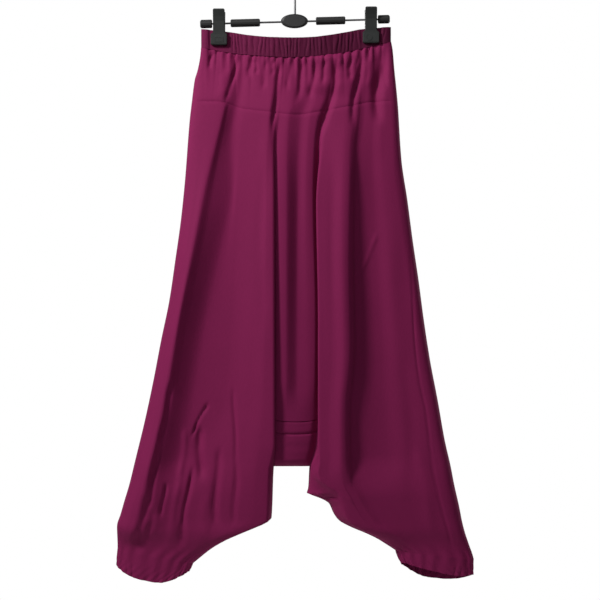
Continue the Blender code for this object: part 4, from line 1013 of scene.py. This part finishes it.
def make_waistband(side, name):
    """The elastic casing with its ruches, each a plump stretch between two grooves."""
    start, end = BAND_LEFT + BAND_END_ROUNDING, BAND_RIGHT - BAND_END_ROUNDING
    middle = np.linspace(start, end, round((end - start) / fine(BAND_ACROSS)))
    across = np.concatenate([BAND_LEFT + BAND_END_STEPS, middle,
                             BAND_RIGHT - BAND_END_STEPS[::-1]])

    def point(x, v):
        y = side * band_depth(x, BAND_LEFT, BAND_RIGHT)
        return np.stack([x, y, -mix(along(BAND_TOP, x), along(BAND_BOTTOM, x), v)], axis=-1)

    down = np.concatenate([[0.0, 0.02, 0.05, 0.1], np.linspace(0.16, 0.9, 15), [0.95, 1.0]])
    points, normals = grid_of(point, across, down)
    normals = outward(side, normals)
    close_sides(side, points, normals)
    pull_in(points, (SEAM, SEAM), axis_last=False)
    return shell(name, points, normals, "gathered_cloth",
                 raised=ruches(points[..., 0], down[:, None]), thickness=BAND_SHELL)


def ruches(x, v):
    """How far the band's cloth stands out: plump between grooves that wander, and a seam."""
    lean = waves(x, *RUCHE_LEAN) * (v - 0.5) + waves(x, *RUCHE_KINK) * np.sin(6 * v)
    share = (x + waves(x, *RUCHE_WANDER) + lean) / RUCHE_PITCH
    plump = np.abs(np.sin(math.pi * share)) ** 0.8
    uneven = mix(np.sin(np.floor(share) * 2.1 + 2.0 * v), 1.0, RUCHE_STEADY)
    hold = np.sin(math.pi * np.clip(v * 0.80 + 0.14, 0, 1)) ** 0.6
    clear = ease((np.abs(np.abs(x) - CLIP_X) - CLIP_HALF_PAD - 1) / 6.0)
    clear = clear * ease((np.minimum(x - BAND_LEFT, BAND_RIGHT - x) - 3) / 8.0)
    seam = np.exp(-((x - BAND_SEAM_X) / BAND_SEAM_WIDTH) ** 2)
    return RUCHE_HEIGHT * (plump * uneven * (1 - seam) + 0.5 * seam) * hold * clear


def make_yoke(side, name):
    across = knot_steps(side, "left_seam", "right_seam", fine(YOKE_ACROSS),
                        YOKE_ACROSS_AT)
    down = np.concatenate([[0.0, 0.01, 0.03], np.linspace(0.06, 0.95, 26), [0.975, 1.0]])

    def point(s, v):
        bare = yoke_point(side, s, v)
        bare[:, 1] += side * relief(side, bare[:, 0], -bare[:, 2])
        return bare

    points, normals = grid_of(point, across, down)
    normals = outward(side, normals)
    close_sides(side, points, normals)
    for row in (0, -1):
        square_seam(normals, row)
    pull_in(points, (SEAM, SEAM), axis_last=False)
    return shell(name, points, normals, "cloth")


def leg_point(side, s, level, leg):
    """A panel's point with its creases, which fade into the gathered ankle."""
    bare = panel_point(side, s, level, leg)
    fade = 1 - ease((level - RELIEF_END) / RELIEF_END_LENGTH)
    bare[:, 1] += side * fade * relief(side, bare[:, 0], -bare[:, 2])
    return bare


def make_leg_panel(side, leg, name, levels):
    ends = {"left": ("left_seam", "left_inner_seam"),
            "right": ("right_inner_seam", "right_seam")}[leg]
    across = knot_steps(side, *ends, fine(LEG_ACROSS), PANEL_ACROSS_AT)
    down = refined(levels, PANEL_DOWN)
    points, normals = grid_of(lambda s, v: leg_point(side, s, v, leg), across, down)
    normals = outward(side, normals)
    inner, outer = (-1, 0) if leg == "left" else (0, -1)
    split = leg_split(down)
    level_ends(normals, np.ones(len(down)), outer)
    level_ends(normals, split, inner)
    points[:, outer, 1] = side * SEAM
    tube = down >= CROTCH_BOTTOM
    points[tube, inner, 1] = side * SEAM
    sideways = np.where(tube, 0.0, SEAM)
    square_seam(normals, 0)
    square_seam(normals, -1, ankle_down(leg))
    pull_in(points, (0.0, sideways) if leg == "left" else (sideways, 0.0), axis_last=True)
    pull_in(points, (SEAM, SEAM), axis_last=False)
    return shell(name, points, normals, "cloth")


def make_centre_panel(side, name, levels):
    across = knot_steps(side, "left_inner_seam", "right_inner_seam", fine(CENTRE_ACROSS),
                        PANEL_ACROSS_AT)
    down = refined(levels, PANEL_DOWN)
    points, normals = grid_of(lambda s, v: leg_point(side, s, v, None), across, down)
    for row in (0, -1):
        square_seam(normals, row)
    pull_in(points, (SEAM, SEAM), axis_last=True)
    pull_in(points, (SEAM, SEAM), axis_last=False)
    return shell(name, points, outward(side, normals), "cloth")


def path_of(drop):
    """The gusset's path length to a drop above its turn."""
    return CROTCH_TURN * math.pi / 2 + TURN_START - drop


def make_crotch_strip(name, path):
    """The crotch band or the gusset, a stretch of the path under the crotch."""
    across = np.linspace(0.0, 1.0, STRIP_COLUMNS)
    down = refined(path, STRIP_DOWN)
    points, normals = grid_of(gusset_point, across, down)
    normals *= 1.0 if normals[0, 4, 1] < 0 else -1.0
    for row in (0, -1):
        square_seam(normals, row)
    pull_in(points, (SEAM, SEAM), axis_last=True)
    pull_in(points, (SEAM, SEAM), axis_last=False)
    from_seam = np.minimum(down - down[0], down[-1] - down)
    dip = CROTCH_SEAM_DIPS * seam_dip(from_seam) + 0.15 * np.sin(down / 3.1)
    return shell(name, points, normals, "cloth", raised=dip[:, None])


def make_cuff(leg, name):
    """The gathered ankle casing, one tube."""
    angles = np.linspace(0.0, 2 * math.pi, CUFF_COLUMNS, endpoint=False)

    def point(angle, v):
        return ankle_point(leg, angle, np.ones(len(v)), v * hem_length(leg, angle))

    down = np.linspace(0.0, 1.0, CUFF_ROWS)
    points, normals = grid_of(point, angles, down)
    normals *= 1.0 if normals[0, CUFF_COLUMNS // 4, 1] < 0 else -1.0
    square_seam(normals, 0, ankle_down(leg))
    pull_in(points, (SEAM, 0.0), axis_last=False)
    v = down[:, None]
    wander = waves(angles, *CUFF_WANDER) + v * waves(angles, *CUFF_TWIST)
    fold = np.abs(np.sin(CUFF_FOLDS * angles + 1.7 * wander)) ** 0.8
    uneven = 0.5 + 0.5 * np.sin(4 * angles + 2.0 + 2.5 * v)
    knots = 0.6 * np.sin(23 * angles + 9 * v) * np.sin(8 * v + 5 * angles)
    raised = CUFF_RISE * (fold * uneven + knots * v) * ease((v - 0.1) / 0.8)
    return shell(name, points, normals, "cloth", ring=True, raised=raised)


def node(tree, kind, **inputs):
    """A shader node with some of its inputs and properties set."""
    made = tree.nodes.new(kind)
    for key, value in inputs.items():
        if key in made.inputs:
            made.inputs[key].default_value = value
        else:
            setattr(made, key, value)
    return made


def base_material(name, roughness, metallic=0.0):
    made = bpy.data.materials.new(name)
    made.use_nodes = True
    shader = made.node_tree.nodes["Principled BSDF"]
    shader.inputs["Roughness"].default_value = roughness
    shader.inputs["Metallic"].default_value = metallic
    return made, made.node_tree, shader


def paint(tree, shader, factor, dark, lit):
    """Colours a surface between two colours, by a factor from 0 to 1."""
    blend = node(tree, "ShaderNodeMix", data_type="RGBA")
    blend.inputs["A"].default_value = (*dark, 1.0)
    blend.inputs["B"].default_value = (*lit, 1.0)
    tree.links.new(factor, blend.inputs["Factor"])
    tree.links.new(blend.outputs["Result"], shader.inputs["Base Color"])


def roughen(tree, shader, *layers):
    """Bumps a surface by layers of a height, a strength and a distance in metres."""
    below = None
    for height, strength, distance in layers:
        bump = node(tree, "ShaderNodeBump", Strength=strength, Distance=distance)
        tree.links.new(height, bump.inputs["Height"])
        if below:
            tree.links.new(below, bump.inputs["Normal"])
        below = bump.outputs["Normal"]
    tree.links.new(below, shader.inputs["Normal"])


def shaded(colour, share):
    """A colour made darker or lighter by a share."""
    return [value * share for value in colour]


def crepe(name, lit, dark, painted_shade_across=0.0):
    """Soft matte crepe: a fine pebbled weave, faint lengthwise slubs and uneven dye, and
    painted shade that darkens it along its width by the last argument.
    """
    made, tree, shader = base_material(name, 0.78)
    links = tree.links
    place = node(tree, "ShaderNodeTexCoord").outputs["UV"]
    stretch = node(tree, "ShaderNodeMapping", Scale=(1.0, 0.35, 1.0))
    links.new(place, stretch.inputs["Vector"])
    cloud = node(tree, "ShaderNodeTexNoise", Scale=14.0, Detail=3.0)
    slub = node(tree, "ShaderNodeTexNoise", Scale=420.0, Detail=2.0)
    pebble = node(tree, "ShaderNodeTexNoise", Scale=1500.0, Detail=2.0, Roughness=0.6)
    links.new(place, cloud.inputs["Vector"])
    links.new(stretch.outputs["Vector"], slub.inputs["Vector"])
    links.new(place, pebble.inputs["Vector"])
    across = node(tree, "ShaderNodeSeparateXYZ")
    links.new(place, across.inputs["Vector"])
    dye_and_shade = None
    # Slubs and clouds are uneven dye; the across term is painted shade, darker along the
    # cloth's width
    for source, weight in ((slub.outputs["Fac"], 0.5), (cloud.outputs["Fac"], 0.45),
                           (across.outputs["X"], -painted_shade_across)):
        total = node(tree, "ShaderNodeMath", operation="MULTIPLY_ADD")
        links.new(source, total.inputs[0])
        total.inputs[1].default_value = weight
        total.inputs[2].default_value = 0.0
        if dye_and_shade:
            links.new(dye_and_shade, total.inputs[2])
        dye_and_shade = total.outputs["Value"]
    paint(tree, shader, dye_and_shade, dark, lit)
    roughen(tree, shader, (slub.outputs["Fac"], 0.25, 0.0006),
            (pebble.outputs["Fac"], 0.35, 0.0002))
    shader.inputs["Sheen Weight"].default_value = 0.04
    shader.inputs["Sheen Roughness"].default_value = 0.45
    shader.inputs["Sheen Tint"].default_value = (0.9, 0.45, 0.65, 1.0)
    shader.inputs["Specular IOR Level"].default_value = 0.18
    return made


def moulded(name, colour, roughness, grain, depth):
    """Moulded plastic or rubber with a fine grain and rubbed, slightly lighter patches."""
    made, tree, shader = base_material(name, roughness)
    links = tree.links
    place = node(tree, "ShaderNodeTexCoord").outputs["Object"]
    patches = node(tree, "ShaderNodeTexNoise", Scale=38.0, Detail=3.0)
    dots = node(tree, "ShaderNodeTexNoise", Scale=grain, Detail=2.0)
    for texture in (patches, dots):
        links.new(place, texture.inputs["Vector"])
    paint(tree, shader, patches.outputs["Fac"], shaded(colour, 0.75), shaded(colour, 1.35))
    rough = node(tree, "ShaderNodeMapRange")
    rough.inputs["To Min"].default_value = roughness - 0.08
    rough.inputs["To Max"].default_value = roughness + 0.10
    links.new(patches.outputs["Fac"], rough.inputs["Value"])
    links.new(rough.outputs["Result"], shader.inputs["Roughness"])
    roughen(tree, shader, (dots.outputs["Fac"], 0.3, depth))
    return made


def steel(name, colour):
    """Dull plated wire with drawing marks."""
    made, tree, shader = base_material(name, 0.36, 0.85)
    place = node(tree, "ShaderNodeTexCoord").outputs["Object"]
    marks = node(tree, "ShaderNodeTexNoise", Scale=300.0, Detail=3.0)
    tree.links.new(place, marks.inputs["Vector"])
    paint(tree, shader, marks.outputs["Fac"], shaded(colour, 0.7), shaded(colour, 1.2))
    roughen(tree, shader, (marks.outputs["Fac"], 0.2, 0.0001))
    return made


MATERIALS = {
    "cloth": crepe("plum_crepe", CLOTH_LIT, CLOTH_DEEP),
    # The band's crepe carries painted shade that darkens it towards its +X end
    "gathered_cloth": crepe("plum_crepe_gathered", BAND_LIT, BAND_DEEP_AND_SHADE, 2.6),
    "wire": steel("wire_steel", (0.20, 0.20, 0.205)),
    "black_plastic": moulded("clip_plastic", (0.028, 0.031, 0.030), 0.42, 900.0, 0.0001),
    "grip": moulded("grip_rubber", (0.018, 0.018, 0.018), 0.66, 1400.0, 0.0002),
    "badge": moulded("badge_plastic", (0.030, 0.030, 0.031), 0.34, 700.0, 0.00008),
}


def finish_hanger(nodes):
    """The hanger's solids keep their shape and get their materials."""
    kinds = {"hook": "wire", "bar": "wire", "badge": "badge", "grip_left": "grip",
             "grip_right": "grip", "cap_left": "grip", "cap_right": "grip"}
    for name, solid in nodes.items():
        if name in SHEETS:
            continue
        chosen = MATERIALS[kinds.get(name, "black_plastic")]
        solid.data.materials.clear()
        solid.data.materials.append(chosen)
        solid.data.polygons.foreach_set("material_index", [0] * len(solid.data.polygons))
        smooth(solid.data, SHARP_PLASTIC)


def make_pad_mark(name, x, drop, half_width, half_height, corners):
    """A raised plain outline on a clip's pad: a rectangle or a ring."""
    turn = 2 * math.pi * (np.arange(corners) + 0.5) / corners
    reach = math.sqrt(2) if corners == 4 else 1.0
    points = []
    for inset in (0.0, MARK_LINE):
        for away in (PAD_FACE, PAD_FACE + MARK_RISE):
            across = x + (half_width - inset) * reach * np.cos(turn)
            down = drop + (half_height - inset) * reach * np.sin(turn)
            points.append(np.stack([across, np.full(corners, -away), -down], axis=-1))
    a = np.arange(corners)
    b = (a + 1) % corners
    faces = []
    for start, end in ((0, 1), (1, 3), (3, 2), (2, 0)):
        faces.append(np.stack([start * corners + a, start * corners + b,
                               end * corners + b, end * corners + a], axis=-1))
    add_piece(name, np.concatenate(points), faces, "black_plastic")


def add_light(name, place, size, power):
    """A round soft light aimed at the middle of the garment."""
    data = bpy.data.lights.new(name, "AREA")
    data.energy = power
    data.shape = "DISK"
    data.size = size
    made = link(name, data)
    made.location = place
    aim = Vector(LIGHT_TARGET) - Vector(place)
    made.rotation_euler = aim.to_track_quat("-Z", "Y").to_euler()


def make_world():
    """White behind the garment, and a dimmer even light on it."""
    world = bpy.data.worlds.new("studio")
    bpy.context.scene.world = world
    world.use_nodes = True
    tree = world.node_tree
    seen = tree.nodes["Background"]
    seen.inputs["Color"].default_value = WHITE
    seen.inputs["Strength"].default_value = 1.0
    ambient = node(tree, "ShaderNodeBackground", Color=WHITE, Strength=AMBIENT)
    path = node(tree, "ShaderNodeLightPath")
    mixed = node(tree, "ShaderNodeMixShader")
    tree.links.new(path.outputs["Is Camera Ray"], mixed.inputs["Fac"])
    tree.links.new(ambient.outputs["Background"], mixed.inputs[1])
    tree.links.new(seen.outputs["Background"], mixed.inputs[2])
    tree.links.new(mixed.outputs["Shader"], tree.nodes["World Output"].inputs["Surface"])
    bpy.context.scene.view_settings.view_transform = "Standard"


def make_studio():
    make_world()
    for row in LIGHTS:
        add_light(*row)
    half_x, half_y = FLOOR_SIZE[0] / 2, FLOOR_SIZE[1] / 2
    corners = [(-half_x, -half_y), (half_x, -half_y), (half_x, half_y), (-half_x, half_y)]
    mesh = bpy.data.meshes.new("floor")
    mesh.from_pydata([(x, y, FLOOR_Z) for x, y in corners], [], [(0, 1, 2, 3)])
    made, tree, shader = base_material("floor_paint", 0.8)
    shader.inputs["Base Color"].default_value = (*FLOOR_COLOUR, 1.0)
    mesh.materials.append(made)
    link("floor", mesh)


def make_camera():
    data = bpy.data.cameras.new("camera")
    data.sensor_width = CAMERA_SENSOR
    data.lens = CAMERA_LENS
    made = link("camera", data)
    made.location = CAMERA_PLACE
    made.rotation_euler = (math.radians(90), 0.0, 0.0)
    bpy.context.scene.camera = made


def make_cloth():
    made = [make_waistband(FRONT, "waistband_front"), make_waistband(BACK, "waistband_back"),
            make_yoke(FRONT, "yoke_front"), make_yoke(BACK, "yoke_back")]
    for side, word, straight, corner in (
            (FRONT, "front", FRONT_LEVELS, FRONT_CORNER_LEVELS),
            (BACK, "back", BACK_LEVELS, BACK_CORNER_LEVELS)):
        made.append(make_leg_panel(side, "left", word + "_left_panel", straight))
        made.append(make_leg_panel(side, "right", word + "_right_panel", corner))
    made.append(make_centre_panel(FRONT, "front_centre_panel", FRONT_ROWS))
    made.append(make_centre_panel(BACK, "back_centre_panel", BACK_ROWS))
    seam, turn = path_of(BAND_SEAM), path_of(TURN_START)
    straight = np.linspace(seam, turn, 4)
    gusset = [*-straight, *np.linspace(-turn, turn, 11)[1:-1], *straight[::-1]]
    made.append(make_crotch_strip("crotch_band", [-path_of(CROTCH_SEAM), -seam]))
    made.append(make_crotch_strip("crotch_gusset", gusset))
    made.append(make_cuff("left", "cuff_left"))
    made.append(make_cuff("right", "cuff_right"))


def main():
    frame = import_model()
    make_cloth()
    finish_hanger(frame["nodes"])
    for name, mark in PAD_MARKS.items():
        make_pad_mark(name, *mark)
    make_studio()
    make_camera()


main()
